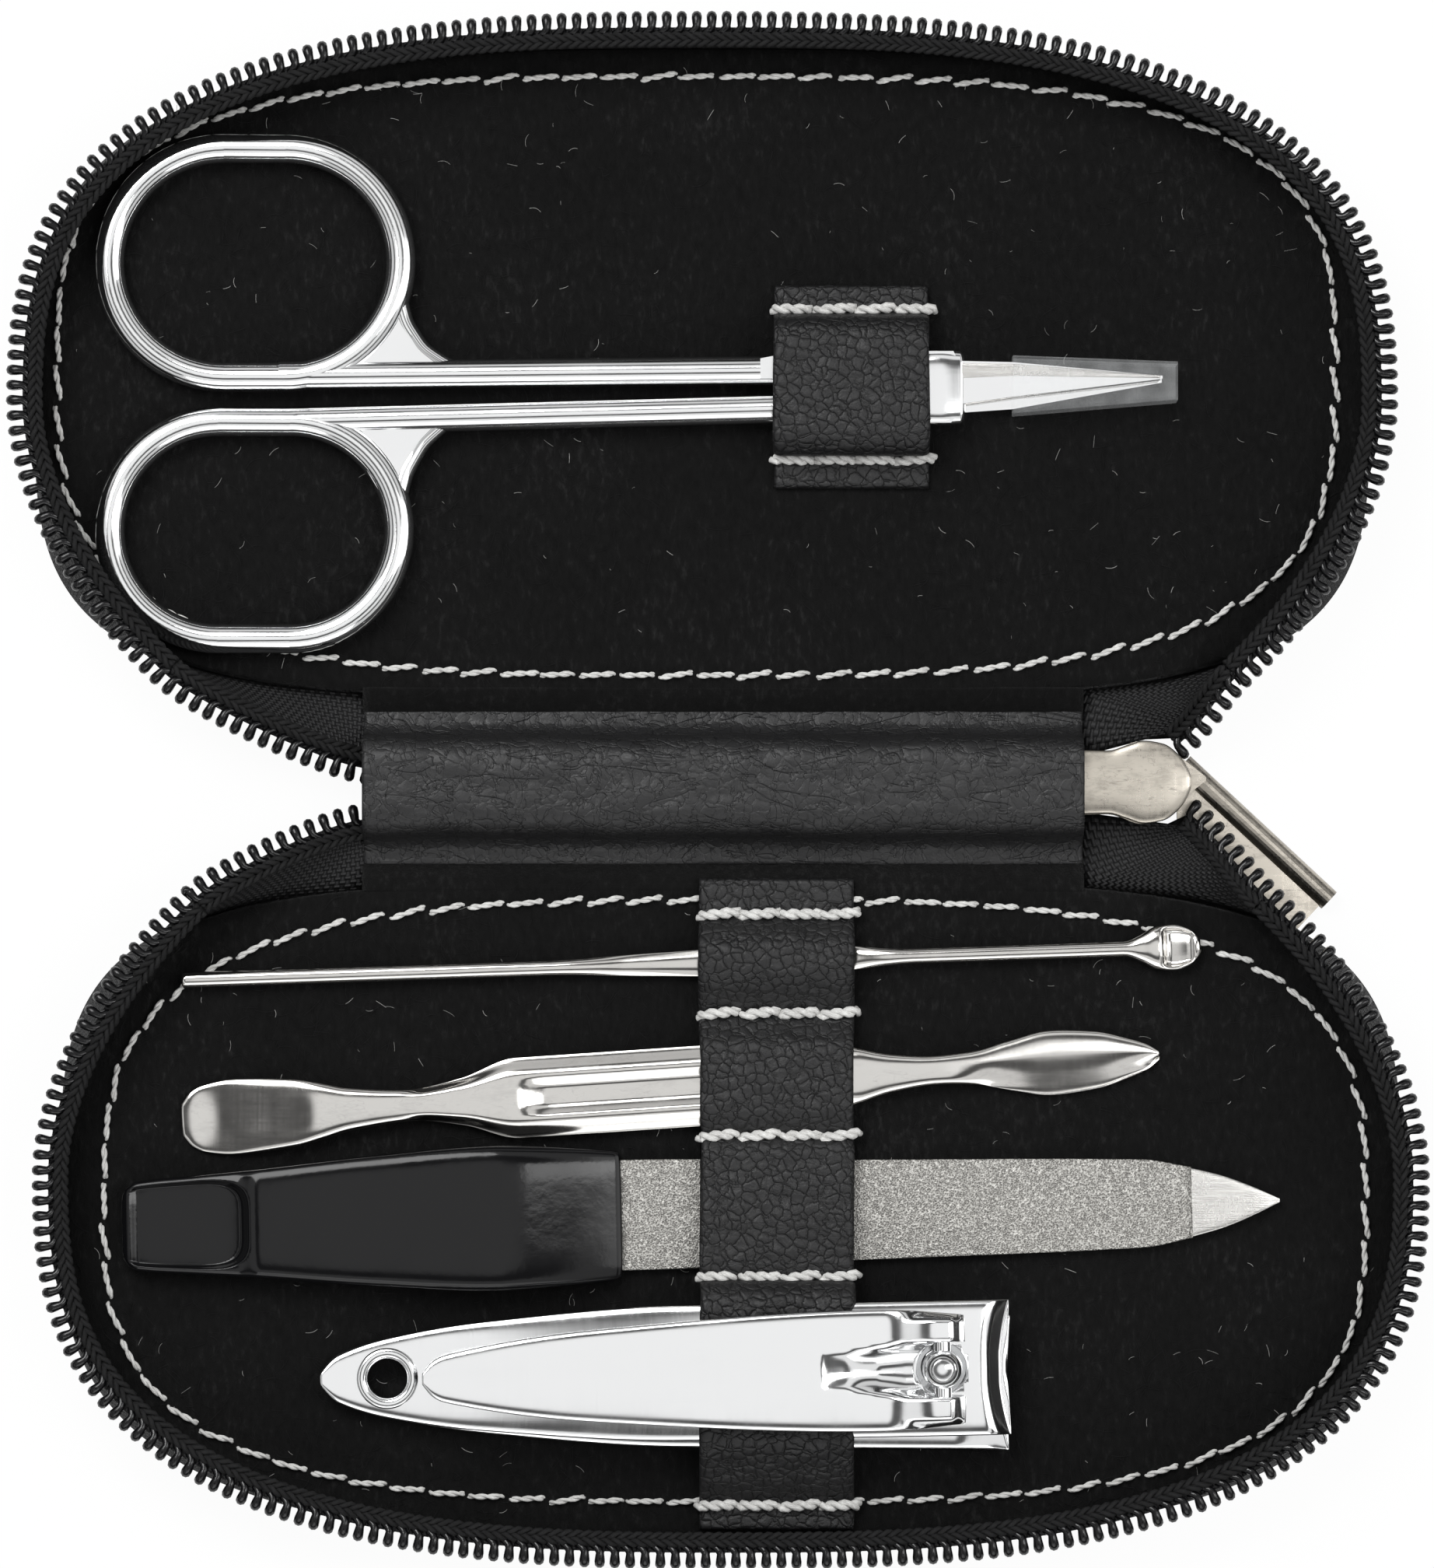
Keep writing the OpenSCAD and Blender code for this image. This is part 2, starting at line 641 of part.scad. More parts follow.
module clipper_lower_jaw() {
    color(chrome_colour)
        laid(clipper_y, clipper_turn)
            difference() {
                intersection() {
                    linear_extrude(10)
                        clipper_outline();
                    side_profile(2 * clipper_width)
                        polygon([
                            [tail, 0], [clipper_ahead - 4.2, 0], [clipper_ahead - 1.5, 0.5],
                            [clipper_ahead, 1.6], [clipper_ahead - 0.2, 2], [clipper_ahead - 2, 1.5],
                            [clipper_ahead - 4.4, jaw_thickness], [tail, jaw_thickness]]);
                }
                translate([tail_hole_x, 0, -1])
                    cylinder(d = tail_rivet + 0.1, h = 5);
                translate([post_x, 0, -1])
                    cylinder(d = post_diameter + 0.2, h = 5);
                translate([post_x, 0, -1])
                    cylinder(d = post_diameter + 1.6, h = 1.6);
            }
}

module clipper_upper_jaw() {
    color(chrome_colour)
        laid(clipper_y, clipper_turn)
            difference() {
                intersection() {
                    linear_extrude(10)
                        clipper_outline();
                    side_profile(2 * clipper_width)
                        polygon([
                            [tail, jaw_thickness + jaw_gap], [jaw_hinge_x, jaw_thickness + jaw_gap],
                            [clipper_ahead - 14, upper_jaw_under], [clipper_ahead - 3.8, upper_jaw_under],
                            [clipper_ahead - 1.2, upper_jaw_under - 0.4], [clipper_ahead, upper_jaw_under - 0.5],
                            [clipper_ahead - 0.1, upper_jaw_under],
                            [clipper_ahead - 3.2, upper_jaw_under + jaw_thickness],
                            [clipper_ahead - 14.1, upper_jaw_under + jaw_thickness],
                            [jaw_hinge_x - 0.1, 2 * jaw_thickness + jaw_gap], [tail, 2 * jaw_thickness + jaw_gap]]);
                }
                translate([tail_hole_x, 0, -1])
                    cylinder(d = tail_rivet + 0.3, h = 5);
                translate([post_x, 0, -1])
                    cylinder(d = post_diameter + 0.8, h = 10);
            }
}

module clipper_tail_rivet() {
    color(chrome_colour)
        laid(clipper_y, clipper_turn)
            translate([tail_hole_x, 0, 0])
                difference() {
                    union() {
                        cylinder(d = tail_rivet, h = 2 * jaw_thickness + 0.4);
                        translate([0, 0, 2 * jaw_thickness + 0.3])
                            cylinder(d = tail_rivet + 0.9, h = 0.25);
                    }
                    translate([0, 0, -1])
                        cylinder(d = tail_hole, h = 10);
                }
}

module clipper_post() {
    color(chrome_colour)
        laid(clipper_y, clipper_turn)
            translate([post_x, 0, 0]) {
                cylinder(d = post_diameter + 1.2, h = 0.5);
                cylinder(d = post_diameter, h = pin_height + 1.2);
                translate([0, 0, pin_height + 1.2])
                    cylinder(d1 = post_diameter, d2 = post_diameter - 1, h = 0.4);
                translate([0, 0, pin_height])
                    rotate([90, 0, 0])
                        cylinder(d = pin_diameter, h = 7.4, center = true);
            }
}

module clipper_lever() {
    half = clipper_width / 2 - 0.55;
    color(chrome_colour)
        laid(clipper_y, clipper_turn)
            difference() {
                intersection() {
                    linear_extrude(12)
                        tool_outline([
                            [tail + 8.4, 0.6, 0], [tail + 9.3, 1.5, 0], [tail + 22.5, half - 1.15, 0],
                            [post_x - 4, half, 0], [post_x - 2.6, half - 0.25, 0], [post_x - 0.7, half - 0.95, 0],
                            [post_x + ear_radius, half - 1.05, 0]]);
                    union() {
                        side_profile(2 * clipper_width)
                            polygon([
                                [tail + 8, lever_base], [post_x - 5, lever_base], [post_x - 2, lever_base - 0.45],
                                [post_x, lever_base - 0.45], [post_x, pin_height + 1.2],
                                [post_x - 3.4, lever_base + lever_thickness], [tail + 8, lever_base + lever_thickness]]);
                        translate([post_x, 0, pin_height])
                            rotate([90, 0, 0])
                                cylinder(r = ear_radius, h = 2 * clipper_width, center = true);
                    }
                }
                translate([post_x - 2.4, -post_diameter / 2 - 0.4, -1])
                    cube([10, post_diameter + 0.8, 20]);
                translate([post_x - 2.4, 0, -1])
                    cylinder(r = post_diameter / 2 + 0.4, h = 20);
                translate([post_x, 0, pin_height])
                    rotate([90, 0, 0])
                        cylinder(d = pin_diameter + 0.15, h = 2 * clipper_width, center = true);
                translate([0, 0, lever_base + 0.3])
                    linear_extrude(5)
                        tool_outline([[post_x - 10, 0.3, 0], [post_x - 8, 1.4, 0], [post_x - 5, 2.3, 0], [post_x - 3, 1.8, 0]]);
            }
}

// Scissors: two crossed halves, drawn where they lie
blade_low = tool_base;
blade_high = tool_base + blade_thickness + 0.04;
scissor_top = blade_high + blade_thickness;
wire_level = tool_base + ring_wire / 2 + 0.02;
ring_x = -37.9;
upper_ring = [ring_x, 42.6, 11.8, 9.3];
lower_ring = [ring_x, 20.9, 11.7, 8.8];
tip_x = 35.5;
shank_start = ring_x + 2;
plate_start = 5;

// Wire bent into a long ring: ring is [middle x, middle y, half length, half width]
module wire_ring(ring) {
    straight = ring[2] - ring[3];
    translate([ring[0], ring[1], wire_level]) {
        for (side = [0, 1])
            rotate(180 * side)
                translate([straight, 0, 0])
                    rotate(-90)
                        rotate_extrude(angle = 180)
                            translate([ring[3], 0])
                                circle(d = ring_wire);
        for (side = [-1, 1])
            translate([-straight, side * ring[3], 0])
                rotate([0, 90, 0])
                    cylinder(d = ring_wire, h = 2 * straight);
    }
}

module shank(y_start, y_end) {
    run = [plate_start - shank_start, y_end - y_start];
    translate([shank_start, y_start, wire_level])
        rotate([0, 90, atan2(run[1], run[0])])
            cylinder(d = ring_wire - 0.04, h = norm(run));
}

module blade_plate(base, points) translate([0, 0, base]) linear_extrude(blade_thickness) polygon(points);

module scissor_upper_half() {
    color(chrome_colour)
        difference() {
            union() {
                wire_ring(upper_ring);
                shank(upper_ring[1] - upper_ring[3] + 0.1, 33.85);
                translate([0, 0, wire_level - ring_wire / 2 + 0.5])
                    linear_extrude(ring_wire - 1)
                        polygon([[-31, 33.6], [-22, 33.8], [-24.6, 35.4], [-26, 37.5], [-26.6, 41], [-29, 37]]);
                blade_plate(blade_high, [
                    [plate_start - 2, 33.1], [plate_start + 1, 33.1], [plate_start + 1, 29.5],
                    [18.4, 29.5], [19, 30.1], [19, 31], [23.4, 31.6], [tip_x, 33.05], [tip_x, 33.3],
                    [23.4, 34.4], [19, 34.5], [18.6, 35.3], [plate_start + 1, 35.3], [plate_start - 2, 34.7]]);
            }
            translate([pivot_x, scissor_y, 0])
                cylinder(d = pivot_diameter + 0.15, h = 20);
        }
}

module scissor_lower_half() {
    color(chrome_colour)
        difference() {
            union() {
                wire_ring(lower_ring);
                shank(lower_ring[1] + lower_ring[3], 30.75);
                translate([0, 0, wire_level - ring_wire / 2 + 0.5])
                    linear_extrude(ring_wire - 1)
                        polygon([[-31, 29.8], [-22, 30], [-24.6, 28], [-26, 25.5], [-26.6, 22], [-29, 26]]);
                blade_plate(blade_low, [
                    [plate_start - 2, 29.9], [plate_start + 1, 29.5], [18.6, 29.5], [19, 30.4],
                    [23.4, 30.7], [tip_x, 32.85], [tip_x, 33.1], [23.4, 33.5], [19, 33.9], [19, 34.6],
                    [18.4, 35.3], [plate_start + 1, 35.3], [plate_start + 1, 31.6], [plate_start - 2, 31.6]]);
            }
            translate([pivot_x, scissor_y, 0])
                cylinder(d = pivot_diameter + 0.15, h = 20);
        }
}

module scissor_pivot_screw() {
    color(chrome_colour)
        translate([pivot_x, scissor_y, 0])
            difference() {
                union() {
                    translate([0, 0, blade_low + 0.05])
                        cylinder(d = pivot_diameter, h = 2 * blade_thickness + 0.2);
                    translate([0, 0, scissor_top + 0.05])
                        cylinder(d1 = pivot_head_diameter, d2 = pivot_head_diameter - 0.5, h = pivot_head_height - 0.1);
                }
                translate([-pivot_head_diameter, -0.3, scissor_top + 0.35])
                    cube([2 * pivot_head_diameter, 0.6, 2]);
            }
}

sleeve_start = 23.4;
sleeve_end = 36.7;
sleeve_wall = 0.2;
sleeve_room = 0.15;

module scissor_tip_sleeve() {
    base = blade_low - 0.05;
    color(sleeve_colour)
        translate([0, 0, base])
            difference() {
                linear_extrude(scissor_top + 0.5 - base)
                    polygon([[sleeve_start, 30.2], [sleeve_end, 31.3], [sleeve_end, 34.4], [sleeve_start, 34.9]]);
                translate([0, 0, sleeve_wall * 0.2])
                    linear_extrude(scissor_top + 0.5 - base - 1.2 * sleeve_wall)
                        polygon([[sleeve_start - 1, 30.2 + sleeve_wall], [sleeve_end + 1, 31.3 + 2 * sleeve_wall],
                            [sleeve_end + 1, 34.4 - sleeve_wall], [sleeve_start - 1, 34.9 - sleeve_wall]]);
            }
}

// Tweezers in the spine's pocket, drawn where they lie
tweezer_tip = tweezer_end - tweezer_length;
tweezer_base = spine_top + rest_clearance;
tweezer_hinge = tweezer_end - 6.5;

module tweezer_outline() {
    translate([0, tweezer_y])
        tool_outline([
            [tweezer_tip, 0.6, 0], [tweezer_tip + 4, 1.4, 0], [tweezer_tip + 24, 2.7, 0],
            [tweezer_hinge - 6, tweezer_neck / 2 + 0.2, 0], [tweezer_end - 6.6, tweezer_neck / 2, 0],
            [tweezer_end - 4, tweezer_head / 2, 0], [tweezer_end - 2, tweezer_head / 2 - 0.6, 0],
            [tweezer_end - 0.5, 1.7, 0], [tweezer_end, 0.5, 0]]);
}

module tweezer_lower_arm() {
    color(nickel_colour)
        translate([0, 0, tweezer_base])
            linear_extrude(tweezer_arm)
                tweezer_outline();
}

module tweezer_upper_arm() {
    low = tweezer_base + tweezer_arm + 0.05;
    color(nickel_colour)
        intersection() {
            linear_extrude(20)
                tweezer_outline();
            side_profile(40)
                polygon([
                    [tweezer_tip, low + tweezer_gap - 0.1], [tweezer_hinge, low], [tweezer_end, low],
                    [tweezer_end, low + tweezer_arm], [tweezer_hinge, low + tweezer_arm],
                    [tweezer_tip, low + tweezer_gap - 0.1 + tweezer_arm]]);
        }
}

// Zip slider: two plates joined by a wedge, its crown's nose over the puller
slider_base = 0.15;
slot_low = 0.8;
slot_high = 1.75;
slider_end = slider_start + slider_length;
nose_y = 0.85;

module zip_slider() {
    half = slider_width / 2;
    color(nickel_colour) {
        translate([0, 0, slot_high])
            linear_extrude(slider_base + slider_height - slot_high)
                polygon([[slider_start, nose_y - half], [slider_start + 2.6, nose_y - half],
                    [slider_end, nose_y - 0.15], [slider_end, nose_y + 0.15],
                    [slider_start + 2.6, nose_y + half], [slider_start, nose_y + half]]);
        translate([0, 0, slider_base])
            linear_extrude(slot_low - slider_base)
                polygon([[slider_start, nose_y - half], [slider_start + 1.4, nose_y - half],
                    [slider_start + 2.2, nose_y], [slider_start + 1.4, nose_y + half],
                    [slider_start, nose_y + half]]);
        translate([slider_start + 0.4, nose_y, slider_base])
            cylinder(d = 1.2, h = slider_height);
        translate([slider_start + 1.6, nose_y, slider_base])
            cylinder(d = 1.6, h = slider_height);
    }
}

// Puller: a flat plate with a rounded rib along its outer edge
puller_at = [37.9, 2.05, 0.85];
puller_out = 0.55;
puller_back = -0.45;
rib_width = 1.8;

module zip_puller() {
    color(nickel_colour)
        translate([puller_at[0], puller_at[1], 0.1])
            rotate(puller_angle) {
                linear_extrude(puller_plate)
                    polygon([
                        [puller_back, puller_out - rib_width], [puller_back + puller_width - rib_width, puller_out - puller_width],
                        [puller_back + puller_length - 0.3, puller_out - puller_width],
                        [puller_back + puller_length - 0.3, puller_out - rib_width + 0.2],
                        [puller_back, puller_out - rib_width + 0.2]]);
                translate([puller_back, puller_out - rib_width, 0])
                    rotate([90, 0, 90])
                        linear_extrude(puller_length)
                            polygon(concat([[0, 0], [rib_width, 0]],
                                [for (turn = [0:15:180]) [rib_width / 2 * (1 + cos(turn)),
                                    puller_rib - rib_width / 2 + rib_width / 2 * sin(turn)]]));
            }
}

base_shell();
base_board();
base_lining();
base_zip_tape();
base_zip_coil();
base_tape_ends();
tool_strap();
spine_cover();
spine_padding();
spine_pocket();
zip_slider();
zip_puller();
lid_shell();
lid_board();
lid_lining();
lid_zip_tape();
lid_zip_coil();
lid_tape_ends();
scissor_strap();
scissor_upper_half();
scissor_lower_half();
scissor_pivot_screw();
scissor_tip_sleeve();
ear_pick();
cuticle_pusher();
file_blade();
file_handle();
clipper_lower_jaw();
clipper_upper_jaw();
clipper_tail_rivet();
clipper_post();
clipper_lever();
tweezer_lower_arm();
tweezer_upper_arm();
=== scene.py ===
"""Look of an open manicure set case with its tools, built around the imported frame."""

import math
import random

import bmesh
import bpy
import numpy as np
from bpy.props import FloatProperty, IntProperty, PointerProperty
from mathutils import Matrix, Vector, noise


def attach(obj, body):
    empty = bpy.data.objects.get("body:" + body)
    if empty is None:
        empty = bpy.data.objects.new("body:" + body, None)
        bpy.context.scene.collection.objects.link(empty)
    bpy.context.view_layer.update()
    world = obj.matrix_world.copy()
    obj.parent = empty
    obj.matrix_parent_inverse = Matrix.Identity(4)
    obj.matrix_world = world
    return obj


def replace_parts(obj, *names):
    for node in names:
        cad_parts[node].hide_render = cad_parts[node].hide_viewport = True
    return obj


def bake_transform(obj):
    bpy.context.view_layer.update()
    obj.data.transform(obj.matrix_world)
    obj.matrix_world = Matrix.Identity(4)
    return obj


bl_info = {
    "name": "Manicure set case",
    "version": (1, 0, 0),
    "blender": (4, 5, 0),
    "location": "View3D > Sidebar > Manicure",
    "description": "Builds the soft parts, stitching and tools of a manicure set case",
    "category": "Object",
}

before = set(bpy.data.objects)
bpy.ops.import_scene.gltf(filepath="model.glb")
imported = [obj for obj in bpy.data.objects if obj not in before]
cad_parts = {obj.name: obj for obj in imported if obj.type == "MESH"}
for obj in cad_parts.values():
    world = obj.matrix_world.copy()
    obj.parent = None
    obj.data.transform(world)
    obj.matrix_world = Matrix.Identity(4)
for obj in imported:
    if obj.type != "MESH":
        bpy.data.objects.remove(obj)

MM = 0.001
FULL_TURN = 2 * math.pi

# Layers of each half, in millimetres above the table
COVER_TOP = 0.9
LINING_TOP = 2.7
TOOL_BASE = 2.8
COIL_MIDDLE = 6.95

# Ovals: half length, middle, far reach, near reach, far squareness, near squareness
PANEL_OVAL = (54.2, 33.7, 27.0, 26.7, 3.0, 4.0)
RIM_OVAL = (56.0, 30.9, 31.7, 41.0, 2.73, 1.78)

# Distance from the fold at which the stiff zip walls end
WALL_END = 8.2


def signed_power(value, power):
    """A power that keeps the sign of its value."""
    return np.sign(value) * np.abs(value) ** power


def oval(turns, shape, inset=0.0):
    """Points of an oval for turns in radians, moved inwards by inset."""
    half, middle, far, near, far_square, near_square = shape
    c, s = np.cos(turns), np.sin(turns)
    square = np.where(s >= 0, far_square, near_square)
    reach = np.where(s >= 0, far, near) - inset
    return np.stack([
        (half - inset) * signed_power(c, 2 / square),
        middle + reach * signed_power(s, 2 / square),
    ], axis=1)


def runs_of(points):
    """Distance run along a line at each of its points."""
    steps = np.linalg.norm(np.diff(points, axis=0), axis=1)
    return np.concatenate([[0.0], np.cumsum(steps)])


def resample(points, count):
    """The same line in evenly spaced points."""
    run = runs_of(points)
    places = np.linspace(0, run[-1], count)
    return np.stack([np.interp(places, run, points[:, k]) for k in range(points.shape[1])], axis=1)


def softened(points, rounds, closed=False):
    """A line with its corners eased by averaging each point with its neighbours."""
    line = np.array(points, float)
    for _ in range(rounds):
        if closed:
            line = (np.roll(line, 1, 0) + 2 * line + np.roll(line, -1, 0)) / 4
        else:
            line[1:-1] = (line[:-2] + 2 * line[1:-1] + line[2:]) / 4
    return line


def unit(vectors):
    """Vectors scaled to a length of one."""
    return vectors / np.maximum(np.linalg.norm(vectors, axis=-1, keepdims=True), 1e-9)


def wobble(points, size, scale, seed=0.0):
    """Smooth random heights at each point, from minus size to size."""
    flat = np.asarray(points, float).reshape(-1, 3)
    values = [noise.noise(Vector((p[0] * scale + seed, p[1] * scale, p[2] * scale))) for p in flat]
    return size * np.array(values).reshape(np.asarray(points).shape[:-1])


def make_piece(name, points, faces, uvs=None, smooth=True):
    """A mesh object from points in millimetres, its faces and one UV per point."""
    mesh = bpy.data.meshes.new(name)
    mesh.from_pydata((np.asarray(points) * MM).tolist(), [], [tuple(int(i) for i in f) for f in faces])
    if uvs is not None:
        layer = mesh.uv_layers.new(name="UVMap")
        corners = np.zeros(len(mesh.loops), np.int32)
        mesh.loops.foreach_get("vertex_index", corners)
        layer.data.foreach_set("uv", np.asarray(uvs, np.float32)[corners].ravel())
    mesh.polygons.foreach_set("use_smooth", [smooth] * len(mesh.polygons))
    mesh.update()
    piece = bpy.data.objects.new(name, mesh)
    bpy.context.scene.collection.objects.link(piece)
    return piece


def grid_faces(rows, columns, wrap_rows=False, wrap_columns=False, start=0):
    """Faces between the points of a grid that is stored row by row."""
    faces = []
    for i in range(rows if wrap_rows else rows - 1):
        for k in range(columns if wrap_columns else columns - 1):
            a, b = i * columns, (i + 1) % rows * columns
            n = (k + 1) % columns
            faces.append((start + a + k, start + a + n, start + b + n, start + b + k))
    return faces


def section_piece(name, sections, caps=True, smooth=True):
    """A solid lofted through closed sections: an array of rows of points."""
    rows, columns = sections.shape[:2]
    faces = grid_faces(rows, columns, wrap_columns=True)
    if caps:
        faces.append(tuple(range(columns - 1, -1, -1)))
        faces.append(tuple((rows - 1) * columns + k for k in range(columns)))
    middle = sections.mean(axis=1)
    along = runs_of(middle)
    around = np.stack([runs_of(row) for row in sections])
    uvs = np.stack([np.repeat(along[:, None], columns, 1), around], axis=2)
    return make_piece(name, sections.reshape(-1, 3), faces, uvs.reshape(-1, 2), smooth)


def frames_along(line, closed):
    """Two directions across a line at each point, carried along it without twisting."""
    if closed:
        along = unit(np.roll(line, -1, 0) - np.roll(line, 1, 0))
    else:
        along = unit(np.gradient(line, axis=0))
    first = np.cross(along[0], (0, 0, 1))
    if np.linalg.norm(first) < 0.1:
        first = np.cross(along[0], (0, 1, 0))
    sides = [first / np.linalg.norm(first)]
    for direction in along[1:]:
        side = sides[-1] - direction * (sides[-1] @ direction)
        sides.append(side / np.linalg.norm(side))
    sides = np.array(sides)
    return sides, np.cross(along, sides)


def tube_points(line, radii, sides, closed=False):
    """Rings of points round a line."""
    across, over = frames_along(line, closed)
    turns = np.linspace(0, FULL_TURN, sides, endpoint=False)
    radii = np.broadcast_to(radii, (len(line),))
    ring = across[:, None, :] * np.cos(turns)[None, :, None] + over[:, None, :] * np.sin(turns)[None, :, None]
    return line[:, None, :] + ring * radii[:, None, None]


def tubes_piece(name, lines, sides=8):
    """One mesh of many tubes; each line is (points, radii, closed)."""
    points, faces, uvs = [], [], []
    start = 0
    for line, radii, closed in lines:
        rings = tube_points(np.asarray(line, float), radii, sides, closed)
        count = len(rings)
        faces += grid_faces(count, sides, wrap_rows=closed, wrap_columns=True, start=start)
        if not closed:
            faces.append(tuple(start + k for k in range(sides - 1, -1, -1)))
            faces.append(tuple(start + (count - 1) * sides + k for k in range(sides)))
        points.append(rings.reshape(-1, 3))
        run = runs_of(np.asarray(line, float))
        around = np.linspace(0, 1, sides, endpoint=False)
        uvs.append(np.stack(np.meshgrid(run, around, indexing="ij"), axis=2).reshape(-1, 2))
        start += count * sides
    return make_piece(name, np.concatenate(points), faces, np.concatenate(uvs))


def twisted(line, radius, pitch, plies, phase=0.0):
    """Lines of the plies of a twisted thread that follows a line."""
    line = np.asarray(line, float)
    across, over = frames_along(line, False)
    turn = runs_of(line) / pitch * FULL_TURN + phase
    found = []
    for k in range(plies):
        angle = (turn + FULL_TURN * k / plies)[:, None]
        found.append(line + radius * (across * np.cos(angle) + over * np.sin(angle)))
    return found


# Shader helpers
def maths(tree, operation, first, second=None, third=None):
    """Output of a maths node whose inputs are numbers or outputs of other nodes."""
    node = tree.nodes.new("ShaderNodeMath")
    node.operation = operation
    for place, value in enumerate((first, second, third)):
        if value is None:
            continue
        if isinstance(value, (int, float)):
            node.inputs[place].default_value = value
        else:
            tree.links.new(value, node.inputs[place])
    return node.outputs[0]


def product(tree, first, second):
    """Output of two values multiplied."""
    return maths(tree, "MULTIPLY", first, second)


def total(tree, first, second):
    """Output of two values added."""
    return maths(tree, "ADD", first, second)


def mixed(tree, first, first_share, second, second_share):
    """Two values added, each times its share."""
    return total(tree, product(tree, first, first_share), product(tree, second, second_share))


def new_material(name, colour, roughness, metallic=0.0, specular=0.5):
    """A named material and its tree with one principled shader."""
    made = bpy.data.materials.new(name)
    made.use_nodes = True
    tree = made.node_tree
    shader = tree.nodes["Principled BSDF"]
    shader.inputs["Base Color"].default_value = (*colour, 1)
    shader.inputs["Roughness"].default_value = roughness
    shader.inputs["Metallic"].default_value = metallic
    shader.inputs["Specular IOR Level"].default_value = specular
    made.diffuse_color = (*colour, 1)
    return made, tree, shader


def object_place(tree):
    """Output with the place on the object, in metres."""
    return tree.nodes.new("ShaderNodeTexCoord").outputs["Object"]


def uv_place(tree):
    """Output with the UVs, which are in millimetres."""
    return tree.nodes.new("ShaderNodeTexCoord").outputs["UV"]


def stretched(tree, vector, scale, turn=0.0):
    """A place scaled and turned, for patterns with a direction."""
    node = tree.nodes.new("ShaderNodeMapping")
    node.inputs["Scale"].default_value = scale
    node.inputs["Rotation"].default_value = (0, 0, turn)
    tree.links.new(vector, node.inputs["Vector"])
    return node.outputs[0]


def noise_value(tree, vector, scale, detail=4.0, roughness=0.55, distortion=0.0):
    """Output of a noise, from 0 to 1."""
    node = tree.nodes.new("ShaderNodeTexNoise")
    node.inputs["Scale"].default_value = scale
    node.inputs["Detail"].default_value = detail
    node.inputs["Roughness"].default_value = roughness
    node.inputs["Distortion"].default_value = distortion
    tree.links.new(vector, node.inputs["Vector"])
    return node.outputs["Fac"]


def cell_value(tree, vector, scale, feature="F1"):
    """Output of a pattern of cells."""
    node = tree.nodes.new("ShaderNodeTexVoronoi")
    node.feature = feature
    node.inputs["Scale"].default_value = scale
    tree.links.new(vector, node.inputs["Vector"])
    return node.outputs["Distance"]


def ramp(tree, value, stops):
    """Colours between stops, each (place, grey or colour)."""
    node = tree.nodes.new("ShaderNodeValToRGB")
    tree.links.new(value, node.inputs[0])
    band = node.color_ramp
    while len(band.elements) < len(stops):
        band.elements.new(0.5)
    for element, (place, colour) in zip(band.elements, stops):
        element.position = place
        element.color = (*colour, 1) if hasattr(colour, "__len__") else (colour, colour, colour, 1)
    return node.outputs[0]


def bump(tree, height, distance, strength=1.0, below=None):
    """A bump of a real height in metres."""
    node = tree.nodes.new("ShaderNodeBump")
    node.inputs["Strength"].default_value = strength
    node.inputs["Distance"].default_value = distance
    tree.links.new(height, node.inputs["Height"])
    if below is not None:
        tree.links.new(below, node.inputs["Normal"])
    return node.outputs[0]


def shade(colour, share):
    """A colour made darker or lighter."""
    return [part * share for part in colour]


def creases(tree, place, scale, stretch, width, turn=0.0):
    """Thin wandering lines where a noise crosses its middle, from 0 in a line to 1 beside it."""
    value = noise_value(tree, stretched(tree, place, stretch, turn), scale, 3, 0.55, 0.5)
    away = maths(tree, "ABSOLUTE", maths(tree, "SUBTRACT", value, 0.5))
    return ramp(tree, away, [(0.0, 0.0), (width, 0.85), (3 * width, 1.0)])


